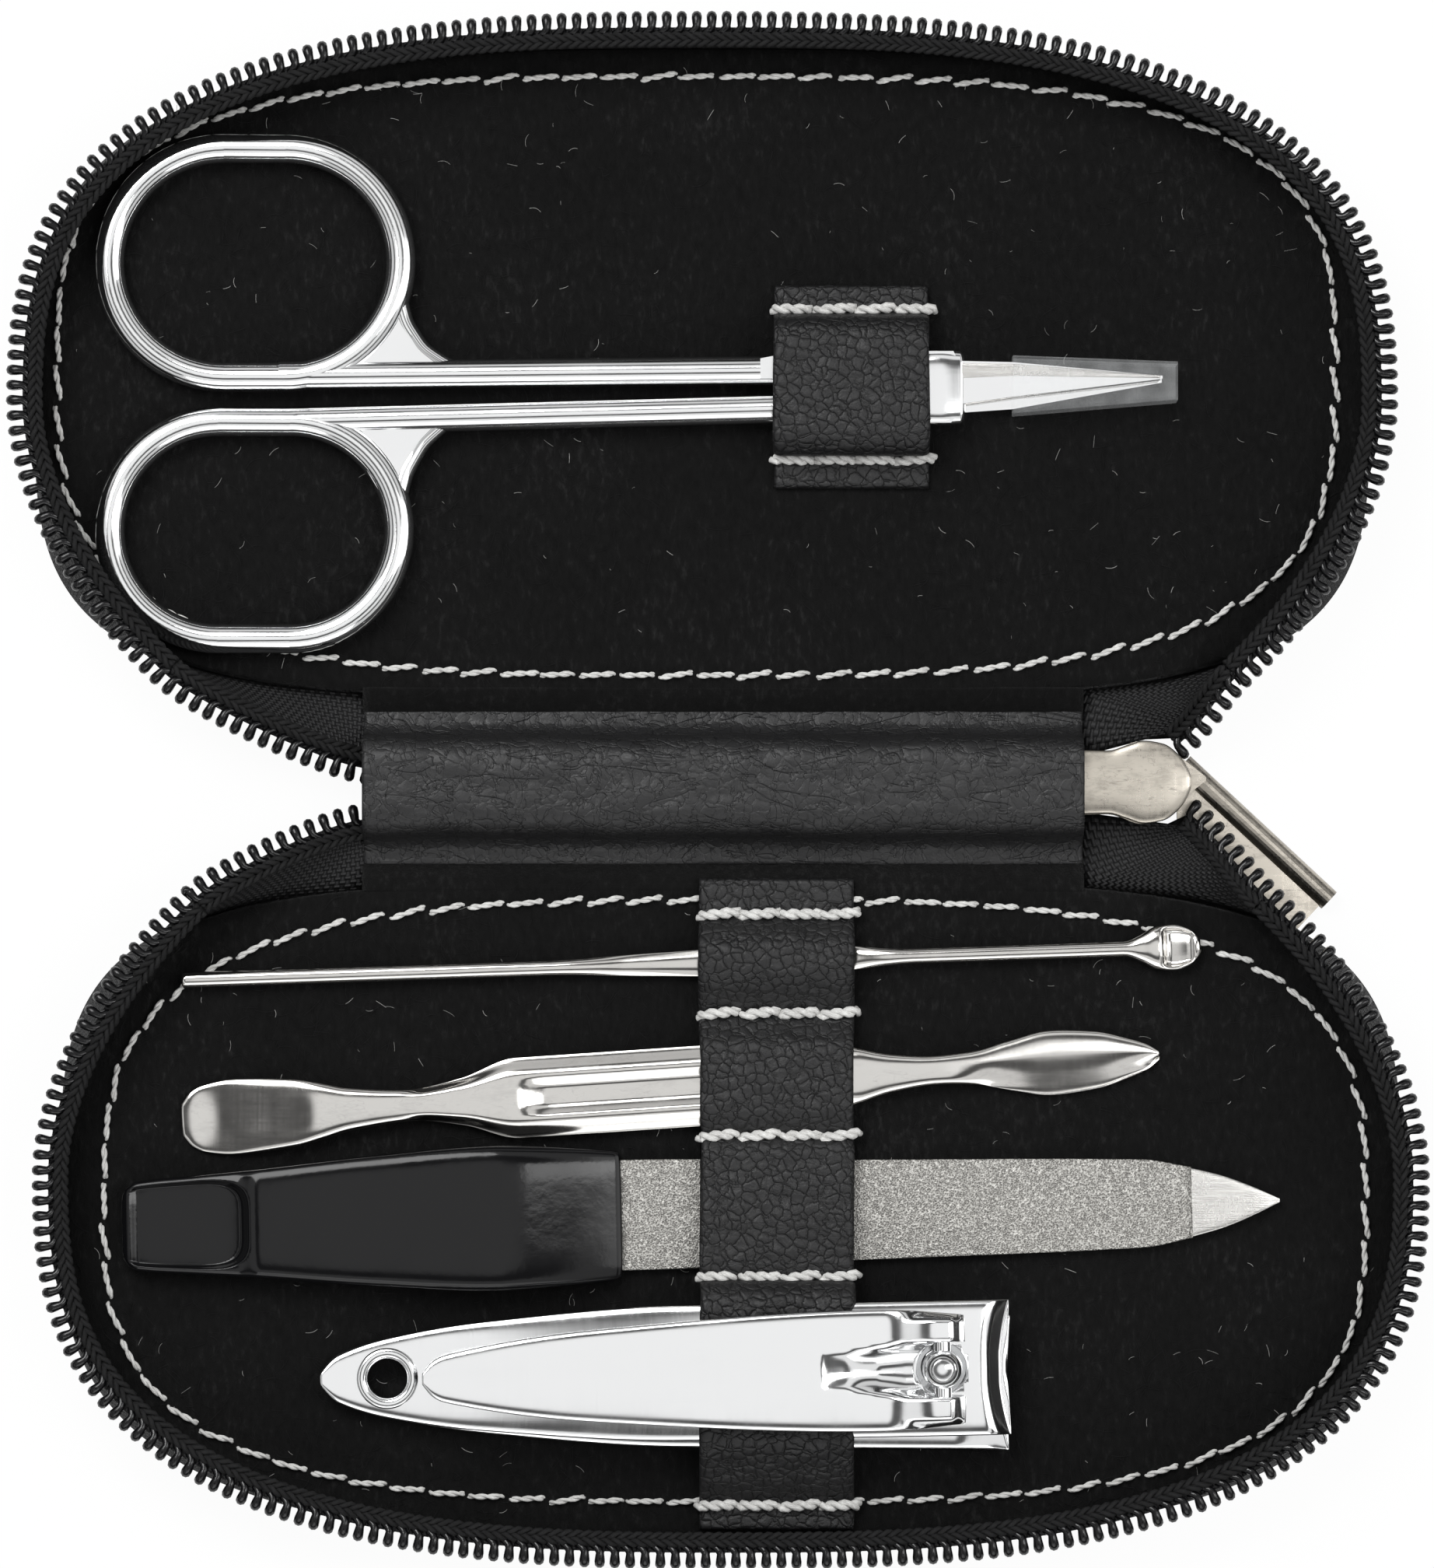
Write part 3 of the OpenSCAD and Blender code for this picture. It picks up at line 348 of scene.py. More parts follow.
def leather_material(name, colour, grain, pebble_share, sheen):
    """Soft leather: pebbled cells and fine wandering creases, its colour darkened in the creases and pebble
    edges as painted shade and lightened on the raised grain as a painted highlight; sheen is its least and
    greatest roughness.
    """
    made, tree, shader = new_material(name, colour, sheen[0], specular=0.4)
    place = object_place(tree)
    drift = tree.nodes.new("ShaderNodeTexNoise")
    drift.inputs["Scale"].default_value = grain * 1.6
    drift.inputs["Detail"].default_value = 3
    tree.links.new(place, drift.inputs["Vector"])
    pushed = tree.nodes.new("ShaderNodeVectorMath")
    pushed.operation = "MULTIPLY_ADD"
    tree.links.new(drift.outputs["Color"], pushed.inputs[0])
    pushed.inputs[1].default_value = (0.5 / grain,) * 3
    tree.links.new(place, pushed.inputs[2])
    cells = cell_value(tree, pushed.outputs[0], grain, "DISTANCE_TO_EDGE")
    pebbles = ramp(tree, cells, [(0.0, 0.0), (0.07, 0.55), (0.25, 1.0)])
    long_creases = creases(tree, place, grain * 0.28, (0.55, 1.3, 1.0), 0.012, 0.15)
    short_creases = creases(tree, place, grain * 0.7, (1.1, 0.8, 1.0), 0.012, -0.7)
    pores = noise_value(tree, place, grain * 7, 3)
    lumps = noise_value(tree, stretched(tree, place, (0.7, 1.2, 1.0)), grain * 0.4, 4)
    lines = mixed(tree, long_creases, 0.6, short_creases, 0.4)
    lines = mixed(tree, lines, 1 - pebble_share, pebbles, pebble_share)
    height = total(tree, lines, product(tree, lumps, 0.5))
    height = total(tree, height, product(tree, pores, 0.16))
    # Colour: painted shade darkens the creases and pebble edges, the pores add random tone, and a painted
    # highlight lightens the raised grain between them.
    crease_shade_and_pore_tone = total(tree, lines, product(tree, pores, 0.5))
    shades = ramp(tree, crease_shade_and_pore_tone, [(0.3, shade(colour, 0.45)), (1.0, colour), (1.5, shade(colour, 1.2))])
    tree.links.new(shades, shader.inputs["Base Color"])
    worn = total(tree, lumps, product(tree, pores, 0.3))
    tree.links.new(ramp(tree, worn, [(0.35, sheen[0]), (0.85, sheen[1])]), shader.inputs["Roughness"])
    tree.links.new(bump(tree, height, 0.00013), shader.inputs["Normal"])
    return made


def velvet_material(name):
    """Near-black short pile with brushed patches and fine fibres."""
    made, tree, shader = new_material(name, (0.006, 0.006, 0.0065), 0.9, specular=0.15)
    place = object_place(tree)
    nap = noise_value(tree, stretched(tree, place, (1.0, 0.45, 1.0), 0.5), 1900, 6, 0.7)
    patches = noise_value(tree, place, 90, 4)
    greys = ramp(tree, mixed(tree, nap, 0.75, patches, 0.25), [(0.35, 0.0015), (0.55, 0.0042), (0.73, 0.019)])
    tree.links.new(greys, shader.inputs["Base Color"])
    shader.inputs["Sheen Weight"].default_value = 0.05
    shader.inputs["Sheen Roughness"].default_value = 0.4
    tree.links.new(bump(tree, nap, 0.00035), shader.inputs["Normal"])
    return made


def weave_material(name, colour, pitch):
    """Plain weave over UVs in millimetres, its colour following the yarn relief: painted shade between the
    yarns and a painted highlight on their crowns.
    """
    made, tree, shader = new_material(name, colour, 0.62, specular=0.35)
    place = uv_place(tree)
    parts = tree.nodes.new("ShaderNodeSeparateXYZ")
    tree.links.new(place, parts.inputs[0])
    rate = math.pi / pitch
    across = maths(tree, "ABSOLUTE", maths(tree, "SINE", product(tree, parts.outputs[0], rate)))
    along = maths(tree, "ABSOLUTE", maths(tree, "SINE", product(tree, parts.outputs[1], rate)))
    checks = tree.nodes.new("ShaderNodeTexChecker")
    checks.inputs["Scale"].default_value = 1 / pitch
    tree.links.new(place, checks.inputs["Vector"])
    picked = checks.outputs["Fac"]
    other = maths(tree, "SUBTRACT", 1.0, picked)
    yarn = mixed(tree, across, picked, along, other)
    fuzz = noise_value(tree, object_place(tree), 5200, 3)
    height = total(tree, yarn, product(tree, fuzz, 0.35))
    # Colour from the yarn relief: painted shade in the gaps between the yarns, painted highlight on their
    # crowns.
    shades = ramp(tree, height, [(0.3, shade(colour, 0.25)), (1.0, shade(colour, 1.6))])
    tree.links.new(shades, shader.inputs["Base Color"])
    tree.links.new(bump(tree, height, 0.00012), shader.inputs["Normal"])
    return made


def coil_material(name, colour):
    """Glossy nylon."""
    made, tree, shader = new_material(name, colour, 0.16, specular=0.4)
    place = object_place(tree)
    haze = noise_value(tree, place, 2600, 3)
    tree.links.new(ramp(tree, haze, [(0.3, 0.1), (0.8, 0.3)]), shader.inputs["Roughness"])
    tree.links.new(bump(tree, haze, 0.00002), shader.inputs["Normal"])
    return made


def thread_material(name, colour, shadow):
    """Spun thread with fine lengthwise filaments."""
    made, tree, shader = new_material(name, colour, 0.8, specular=0.25)
    place = uv_place(tree)
    fibres = noise_value(tree, stretched(tree, place, (1.5, 9.0, 1.0)), 2.4, 4, 0.7)
    dust = noise_value(tree, object_place(tree), 900, 3)
    value = mixed(tree, fibres, 0.7, dust, 0.3)
    tree.links.new(ramp(tree, value, [(0.32, shadow), (0.6, colour)]), shader.inputs["Base Color"])
    shader.inputs["Subsurface Weight"].default_value = 0.1
    shader.inputs["Subsurface Radius"].default_value = (0.0003, 0.0003, 0.0003)
    tree.links.new(bump(tree, fibres, 0.00004), shader.inputs["Normal"])
    return made


def metal_material(name, colour, smoothest, roughest, scratch=0.6, brushed=None, wear=0.0):
    """Polished metal with hazy patches and fine scratches; brushed is the grain's direction in degrees."""
    made, tree, shader = new_material(name, colour, smoothest, metallic=1.0)
    place = object_place(tree)
    haze = noise_value(tree, place, 160, 5, 0.6)
    lines = noise_value(tree, stretched(tree, place, (0.05, 2.6, 1.0), 0.35), 1500, 3, 0.6)
    more = noise_value(tree, stretched(tree, place, (2.4, 0.06, 1.0), -0.5), 1700, 3, 0.6)
    spread = total(tree, haze, product(tree, product(tree, lines, more), scratch))
    tree.links.new(ramp(tree, spread, [(0.35, smoothest), (0.85, roughest)]), shader.inputs["Roughness"])
    height = product(tree, total(tree, lines, more), 0.5)
    depth = 0.0000025 * scratch
    if brushed is not None:
        grain = stretched(tree, place, (0.03, 3.0, 1.0), math.radians(-brushed))
        height = noise_value(tree, grain, 4200, 3, 0.7)
        depth = 0.000012
    tree.links.new(bump(tree, height, depth), shader.inputs["Normal"])
    if wear > 0:
        clouds = noise_value(tree, stretched(tree, place, (0.5, 1.2, 1.0)), 520, 7, 0.75)
        cracks = creases(tree, place, 520, (0.5, 1.5, 1.0), 0.006)
        tarnish = product(tree, clouds, total(tree, product(tree, cracks, 0.35), 0.65))
        shades = ramp(tree, tarnish, [(0.3, shade(colour, 1 - wear)), (0.5, colour)])
        tree.links.new(shades, shader.inputs["Base Color"])
    return made


def grit_material(name):
    """Fine bonded grit with sparkling grains."""
    made, tree, shader = new_material(name, (0.4, 0.39, 0.37), 0.45, metallic=0.75)
    place = object_place(tree)
    grains = cell_value(tree, place, 7600)
    clumps = noise_value(tree, place, 2600, 5, 0.7)
    height = mixed(tree, grains, 0.8, clumps, 0.55)
    greys = [(0.3, (0.1, 0.097, 0.092)), (0.6, (0.27, 0.262, 0.245)), (0.95, (0.6, 0.59, 0.56))]
    shades = ramp(tree, height, greys)
    tree.links.new(shades, shader.inputs["Base Color"])
    tree.links.new(bump(tree, height, 0.0001), shader.inputs["Normal"])
    return made


def plastic_material(name, colour, roughness):
    """Glossy plastic with a faint unevenness."""
    made, tree, shader = new_material(name, colour, roughness, specular=0.32)
    haze = noise_value(tree, object_place(tree), 300, 4)
    tree.links.new(ramp(tree, haze, [(0.3, roughness), (0.8, roughness + 0.08)]), shader.inputs["Roughness"])
    ripples = noise_value(tree, object_place(tree), 900, 3)
    tree.links.new(bump(tree, ripples, 0.00001), shader.inputs["Normal"])
    return made


def clear_material(name):
    """Thin clear sleeve: mostly see-through with bright edges."""
    made, tree, shader = new_material(name, (0.93, 0.95, 0.96), 0.12, specular=0.6)
    shader.inputs["IOR"].default_value = 1.45
    rim = tree.nodes.new("ShaderNodeLayerWeight")
    rim.inputs["Blend"].default_value = 0.35
    haze = noise_value(tree, object_place(tree), 500, 4)
    cover = mixed(tree, rim.outputs["Facing"], 0.42, haze, 0.1)
    tree.links.new(cover, shader.inputs["Alpha"])
    tree.links.new(bump(tree, haze, 0.00003), shader.inputs["Normal"])
    return made


def card_material(name):
    """Grey board with fine fibres."""
    made, tree, shader = new_material(name, (0.2, 0.18, 0.15), 0.9)
    fibres = noise_value(tree, object_place(tree), 1800, 5)
    shades = ramp(tree, fibres, [(0.3, (0.13, 0.12, 0.1)), (0.7, (0.26, 0.24, 0.2))])
    tree.links.new(shades, shader.inputs["Base Color"])
    tree.links.new(bump(tree, fibres, 0.00006), shader.inputs["Normal"])
    return made


# Finishes: the maker of each material and its values
FINISHES = {
    "leather": (leather_material, (0.0085, 0.0085, 0.009), 1150, 0.75, (0.4, 0.56)),
    "cover_leather": (leather_material, (0.0115, 0.0115, 0.012), 900, 0.35, (0.36, 0.52)),
    "velvet": (velvet_material,),
    "tape": (weave_material, (0.0075, 0.0075, 0.008), 0.35),
    "coil": (coil_material, (0.0035, 0.0035, 0.004)),
    "black_thread": (thread_material, (0.012, 0.012, 0.0125), (0.002, 0.002, 0.002)),
    "white_thread": (thread_material, (0.78, 0.78, 0.76), (0.33, 0.32, 0.31)),
    "chrome": (metal_material, (0.9, 0.905, 0.91), 0.05, 0.16, 0.7),
    "blade_steel": (metal_material, (0.6, 0.59, 0.57), 0.16, 0.3, 0.8, 80),
    "nickel": (metal_material, (0.68, 0.665, 0.64), 0.07, 0.18, 0.5, None, 0.12),
    "worn_nickel": (metal_material, (0.47, 0.435, 0.38), 0.17, 0.34, 1.2, None, 0.4),
    "grit": (grit_material,),
    "black_plastic": (plastic_material, (0.004, 0.004, 0.0045), 0.09),
    "clear_plastic": (clear_material,),
    "card": (card_material,),
}

MATERIALS = {}


def finish_of(name):
    """The material of that name, made on first use."""
    if name not in MATERIALS:
        maker, *values = FINISHES[name]
        MATERIALS[name] = maker(name, *values)
    return MATERIALS[name]


def dress(piece, finish):
    """Gives a piece its finish as its only material."""
    piece.data.materials.clear()
    piece.data.materials.append(finish_of(finish))
    return piece


def turned_out(piece):
    """Turns the faces of a closed piece outwards."""
    bm = bmesh.new()
    bm.from_mesh(piece.data)
    bmesh.ops.recalc_face_normals(bm, faces=bm.faces)
    bm.to_mesh(piece.data)
    bm.free()
    return piece


def add_piece(piece, finish, body, *nodes):
    """Finishes a closed piece that rides on a body, and stands for nodes of the frame if any are named."""
    dress(turned_out(piece), finish)
    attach(piece, body)
    if nodes:
        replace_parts(piece, *nodes)
    return piece


# The two halves, drawn on the lid's side: shift along the spine, side of the spine, the ends of
# the coil at the right and the left, and how far from the fold the tape is tucked in
HALVES = {
    "lid": {
        "shift": -1.7,
        "side": 1,
        "right_end": (36.9, 3.4),
        "left_end": (-28.9, 1.5),
        "tucked": 2.7,
    },
    "base": {
        "shift": 0.6,
        "side": -1,
        "right_end": (37.9, 1.8),
        "left_end": (-28.9, 2.2),
        "tucked": 1.8,
    },
}


def placed(points, half):
    """Points of one half, drawn on the lid's side, moved to their place."""
    place = HALVES[half]
    points = np.array(points, float)
    points[..., 0] += place["shift"]
    points[..., 1] *= place["side"]
    return points


def hermite(start, start_pull, end, end_pull, count):
    """Points of a curve between two ends that leaves and arrives along its pulls."""
    u = np.linspace(0, 1, count)[:, None]
    return ((2 * u**3 - 3 * u**2 + 1) * start + (u**3 - 2 * u**2 + u) * start_pull
            + (-2 * u**3 + 3 * u**2) * end + (u**3 - u**2) * end_pull)


# Zip, in millimetres: the coil's inset from the rim, its height beside the spine, and the steps along it
COIL_INSET = 1.05
FLAT_COIL = 1.95
FOOT_INSET = 0.35
FOOT_HEIGHT = 1.15
END_STEPS = 60
WALL_STEPS = 700
ZIP_STEP = 0.3


def foot_at_ends(place, left, last_turn):
    """Lines of the tape's foot beside the spine, at the right and the left end of a half."""
    tucked = np.array((SPINE_HALF_LENGTH - 0.2 - place["shift"], place["tucked"]))
    edge = oval(np.linspace(-math.pi / 2, -last_turn, 160), PANEL_OVAL, FOOT_INSET)
    edge = edge[edge[:, 0] > tucked[0]]
    right_foot = np.concatenate([[tucked], [(tucked[0], edge[0, 1])], edge])
    edge = oval(np.linspace(math.pi + last_turn, 1.5 * math.pi, 160), PANEL_OVAL, FOOT_INSET)
    edge = edge[edge[:, 0] < left[0]]
    panel_near = PANEL_OVAL[1] - PANEL_OVAL[3]
    left_foot = np.concatenate([edge, [(left[0], edge[-1, 1])], [(left[0], panel_near - 0.8)]])
    return resample(right_foot, END_STEPS), resample(left_foot, END_STEPS)


def zip_path(half):
    """Line of one half's coil, its inward directions, the tape's foot and the ends of the stiff wall."""
    place = HALVES[half]
    _, middle, _, near, _, square = RIM_OVAL
    last_turn = math.asin(((middle - WALL_END) / near) ** (square / 2))
    turns = np.linspace(-last_turn, math.pi + last_turn, WALL_STEPS)
    wall = oval(turns, RIM_OVAL, COIL_INSET)
    foot = oval(turns, PANEL_OVAL, FOOT_INSET)
    lead = unit(wall[1] - wall[0])
    tail = unit(wall[-1] - wall[-2])
    right = np.array(place["right_end"], float) - (place["shift"], 0)
    left = np.array(place["left_end"], float) - (place["shift"], 0)
    reach = 9.0
    start = hermite(right, np.array((5.2, 3.6)), wall[0], lead * 6.0, END_STEPS)
    finish = hermite(wall[-1], tail * reach, left, np.array((reach, -0.5)), END_STEPS)
    right_foot, left_foot = foot_at_ends(place, left, last_turn)
    flat = np.concatenate([start[:-1], wall, finish[1:]])
    feet = np.concatenate([right_foot[:-1], foot, left_foot[1:]])
    ease = np.linspace(0, 1, END_STEPS)
    ease = ease * ease * (3 - 2 * ease)
    rise = np.concatenate([ease[:-1], np.ones(len(wall)), ease[::-1][1:]])
    run = runs_of(flat)
    places = np.linspace(0, run[-1], int(run[-1] / ZIP_STEP))

    def even(values):
        return np.stack([np.interp(places, run, values[:, k]) for k in range(values.shape[1])], 1)

    flat = softened(even(flat), 6)
    ahead = unit(np.gradient(flat, axis=0))
    return {
        "run": places,
        "line": flat,
        "inward": np.stack([-ahead[:, 1], ahead[:, 0]], 1),
        "foot": even(feet),
        "rise": np.interp(places, run, rise),
        "ends": (run[END_STEPS - 1], run[END_STEPS - 2 + len(wall)]),
        "length": run[-1],
    }


def path_values(path, runs):
    """Values of a zip path at some distances along it, with the height of the coil's middle."""
    found = {}
    for key in ("line", "inward", "foot"):
        found[key] = np.stack([np.interp(runs, path["run"], path[key][:, k]) for k in range(2)], 1)
    found["inward"] = unit(found["inward"])
    found["rise"] = np.interp(runs, path["run"], path["rise"])
    found["middle"] = FLAT_COIL + (COIL_MIDDLE - FLAT_COIL) * found["rise"]
    return found


def coil_points(path, first, last, settings):
    """Line of the coil filament between two distances, and its radii."""
    pitch = settings.tooth_pitch
    steps = int((last - first) / pitch * 22)
    places = np.linspace(first, last, steps)
    turn = FULL_TURN * places / pitch
    phase = (turn + math.pi) % FULL_TURN - math.pi
    lean = np.sign(phase) * smooth_step(np.abs(phase), 1.7, math.pi) / 2
    runs = np.clip(pitch * (np.round(turn / FULL_TURN) + lean), first, last)
    at = path_values(path, runs)
    reach = settings.tooth_length / 2
    out = reach * np.cos(turn)
    spot = at["line"] - at["inward"] * out[:, None]
    height = at["middle"] + settings.tooth_height / 2 * np.sin(turn)
    radii = settings.filament / 2 * (1.02 + 0.3 * smooth_step(np.cos(turn), -0.3, 1.0))
    return np.column_stack([spot, height]), radii


def cord_line(path, first, last, inset, lift):
    """Middle of a sewn cord that runs beside the coil."""
    at = path_values(path, np.arange(first, last, ZIP_STEP))
    return np.column_stack([at["line"] + at["inward"] * inset, at["middle"] + lift])


def tape_sections(path, first, last, thickness):
    """Closed sections of the tape from the coil down to its foot."""
    runs = np.linspace(first, last, int((last - first) / 0.35))
    at = path_values(path, runs)
    rise = at["rise"][:, None]
    middle = at["middle"][:, None]
    inward = np.column_stack([at["inward"], np.zeros(len(runs))])
    root = np.column_stack([at["line"] + at["inward"] * 0.2, middle])
    top = np.column_stack([at["line"] + at["inward"] * 0.95, middle + 0.28])
    neck = np.column_stack([at["line"] + at["inward"] * 1.45, middle + 0.05])
    foot = np.column_stack([at["foot"], FOOT_HEIGHT + 0 * rise])
    rows = [root, (root + top) / 2 + (0, 0, 0.08), top, neck]
    for share in (0.12, 0.25, 0.4, 0.55, 0.7, 0.85, 1.0):
        rows.append(neck * (1 - share) + foot * share)
    inner = np.stack(rows, 1)
    weights = np.linspace(0, 1, inner.shape[1])[None, :, None]
    down = np.array((0, 0, -1.0))
    lower = down * (1 - weights * rise[:, None]) - inward[:, None, :] * (weights ** 0.5 * rise[:, None])
    outer = inner + unit(lower) * thickness
    return np.concatenate([inner, outer[:, ::-1]], 1)


def wrinkled(sections, size, scale, seed):
    """Sections moved up and down a little by smooth random heights."""
    moved = sections.copy()
    moved[..., 2] += wobble(sections, size, scale, seed)
    return moved


# Settings
def millimetres(name, description, default, least, most):
    """A setting in millimetres."""
    return FloatProperty(name=name, description=f"{description}, in millimetres",
                         default=default, min=least, max=most)


def watts(name, description, default):
    """A setting in watts."""
    return FloatProperty(name=name, description=f"{description}, in watts",
                         default=default, min=0, max=20, subtype="POWER")


class ZipSettings(bpy.types.PropertyGroup):
    tooth_pitch: millimetres("Tooth pitch", "Distance between teeth", 1.21, 0.8, 2)
    tooth_length: millimetres("Tooth length", "Length of a loop across the coil", 1.45, 0.8, 2)
    tooth_height: millimetres("Tooth height", "Distance between the two legs", 0.72, 0.4, 1)
    filament: millimetres("Filament", "Thickness of the coil's filament", 0.64, 0.3, 0.9)
    tape_thickness: millimetres("Tape thickness", "Thickness of the woven tape", 0.45, 0.2, 0.8)
    cord_radius: millimetres("Cord radius", "Radius of one ply of the sewn cord", 0.21, 0.05, 0.4)


# Cords sewn beside the coil: inset, height over the coil's middle and lay, in millimetres
CORDS = ((0.98, 0.42, 1.6), (1.5, 0.28, -1.6))


def zip_pieces(half, end, path, span, settings):
    """The coil, the cords and the tape of one stretch of a half's zip."""
    line, radii = coil_points(path, *span, settings)
    coil = tubes_piece(f"{half}_coil{end}", [(placed(line, half), radii, False)], 9)
    cords = []
    for inset, lift, lay in CORDS:
        core = placed(cord_line(path, *span, inset, lift), half)
        cords += [(ply, settings.cord_radius, False) for ply in twisted(core, settings.cord_radius, lay, 2)]
    cord = tubes_piece(f"{half}_coil_cord{end}", cords, 6)
    sections = wrinkled(tape_sections(path, *span, settings.tape_thickness), 0.05, 0.35, 3.0)
    tape = section_piece(f"{half}_tape{end}", placed(sections, half))
    return [dress(turned_out(piece), finish)
            for piece, finish in ((coil, "coil"), (cord, "black_thread"), (tape, "tape"))]


class MANICURE_OT_zip(bpy.types.Operator):
    """Builds the coils, their sewn cords and the woven tapes of both halves"""
    bl_idname = "manicure.build_zip"
    bl_label = "Build zip"

    def execute(self, context):
        settings = context.scene.manicure_zip
        for half, place in HALVES.items():
            path = zip_path(half)
            first, last = path["ends"]
            spans = {"": (first, last), "_right": (0.0, first), "_left": (last, path["length"])}
            for end, span in spans.items():
                made = zip_pieces(half, end, path, span, settings)
                for piece in made:
                    if end:
                        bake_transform(piece)
                    else:
                        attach(piece, half)
                if end == "":
                    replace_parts(made[0], f"{half}_zip_coil")
                    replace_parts(made[2], f"{half}_zip_tape")
                elif end == "_left":
                    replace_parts(made[2], f"{half}_tape_ends")
        return {"FINISHED"}


# Lines of stitches in the lining: middle along the spine, and an oval as above
LINING_STITCHES = {
    "lid": (-2.16, (51.81, 34.27, 23.63, 25.05, 3.25, 3.31)),
    "base": (0.94, (50.90, 33.07, 24.40, 24.07, 3.18, 3.14)),
}
PANEL_STEPS = 300
STITCH_STEPS = 900


def panel_sections(profile, half):
    """Closed rings of a panel from (inset, share of the way out, height) for each ring."""
    turns = np.linspace(0, FULL_TURN, PANEL_STEPS, endpoint=False)
    centre = np.array((0.0, PANEL_OVAL[1]))
    rows = []
    for inset, share, height in profile:
        flat = centre + (oval(turns, PANEL_OVAL, inset) - centre) * share
        rows.append(np.column_stack([flat, np.full(len(turns), height)]))
    return placed(np.stack(rows), half)


class PanelSettings(bpy.types.PropertyGroup):
    lining_height: millimetres("Lining height", "Top of the velvet lining", 2.7, 2.4, 2.76)
    stitch_pitch: millimetres("Stitch pitch", "Distance between stitches", 3.2, 2, 5)
    stitch_length: millimetres("Stitch length", "Length of a stitch", 2.95, 1, 4)
    thread_radius: millimetres("Thread radius", "Radius of one ply", 0.135, 0.1, 0.4)
    fibre_count: IntProperty(name="Fibres", description="Loose fibres on the velvet of each half",
                             default=2600, min=0, max=8000)
    lint_count: IntProperty(name="Lint", description="Pale specks of lint on each half",
                            default=190, min=0, max=500)


def stitch_lines(path, closed, settings, lift, seed, slant=0.06):
    """Plies of the stitches along a line of points; each stitch dips into the cloth at both ends."""
    rng = random.Random(seed)
    points = np.asarray(path, float)
    if closed:
        points = np.concatenate([points, points[:1]])
    run = runs_of(points)
    pitch = settings.stitch_pitch
    count = int(round(run[-1] / pitch))
    found = []
    for k in range(count):
        first = (k + 0.08) * run[-1] / count + rng.uniform(-0.08, 0.08)
        length = settings.stitch_length * rng.uniform(0.95, 1.04)
        places = np.linspace(first, first + length, 11)
        line = np.stack([np.interp(places, run, points[:, c]) for c in range(3)], 1)
        ahead = unit(line[-1] - line[0])
        across = np.array((-ahead[1], ahead[0], 0))
        share = np.linspace(-1, 1, 11)
        line += across * (share * (slant + rng.uniform(-0.05, 0.05)) * length)[:, None]
        line[:, 2] += lift * (1 - np.abs(share) ** 3) - 0.42 * np.abs(share) ** 8
        line += wobble(line, 0.04, 1.7, seed + k)[:, None]
        for ply in twisted(line, settings.thread_radius * 0.92, 2.1, 2, rng.uniform(0, 6)):
            found.append((ply, settings.thread_radius * 1.04, False))
    return found


def fuzz_lines(spots, rng, length, radius, rise, steps=6):
    """Short curved fibres that start at each spot."""
    found = []
    for spot in spots:
        heading = rng.uniform(0, FULL_TURN)
        bend = rng.uniform(-1.4, 1.4)
        reach = rng.uniform(*length)
        line = [np.array(spot, float)]
        for k in range(steps):
            heading += bend / steps
            climb = rise * math.sin(math.pi * (k + 0.5) / steps) * rng.uniform(0.3, 1)
            line.append(line[-1] + reach / steps * np.array((math.cos(heading), math.sin(heading), 0))
                        + np.array((0, 0, climb * (1 if k < steps / 2 else -1) / steps)))
        found.append((np.array(line), rng.uniform(*radius), False))
    return found


def spots_on(shape, inset, count, rng, height):
    """Random places inside an oval."""
    middle = shape[1]
    spots = []
    for _ in range(count):
        turn = rng.uniform(0, FULL_TURN)
        edge = oval(np.array([turn]), shape, inset)[0] - (0, middle)
        share = math.sqrt(rng.random())
        spots.append((edge[0] * share, middle + edge[1] * share, height))
    return spots


# Rounded edges of a cover, as (inset, share of the way out, height)
COVER_RINGS = ((0, 0.02, 0.0), (0, 0.5, 0.0), (0, 0.9, 0.0), (0.5, 1, 0.0), (0.13, 1, 0.13), (0, 1, 0.45),
               (0.13, 1, 0.77), (0.5, 1, COVER_TOP), (2.2, 1, COVER_TOP))


def lining_sections(half, top, seed):
    """The lining with its rolled edge and softly uneven velvet."""
    rings = [(2.0, 1, 1.6), (0.62, 1, 1.7), (0.5, 1, top - 0.3), (0.72, 1, top - 0.1), (1.3, 1, top - 0.02),
             (2.0, 1, top)]
    rings += [(2.0, share, top) for share in np.linspace(0.97, 0.02, 44)]
    sections = panel_sections(rings, half)
    velvet = sections[3:]
    velvet[..., 2] += wobble(velvet, 0.035, 0.12, seed) + wobble(velvet, 0.018, 0.9, 2.0)
    return sections


def scattered(half, inset, count, rng, height, *fuzz):
    """Short fibres strewn over a half's lining."""
    spots = placed(spots_on(PANEL_OVAL, inset, count, rng, height), half)
    return fuzz_lines(spots, rng, *fuzz)


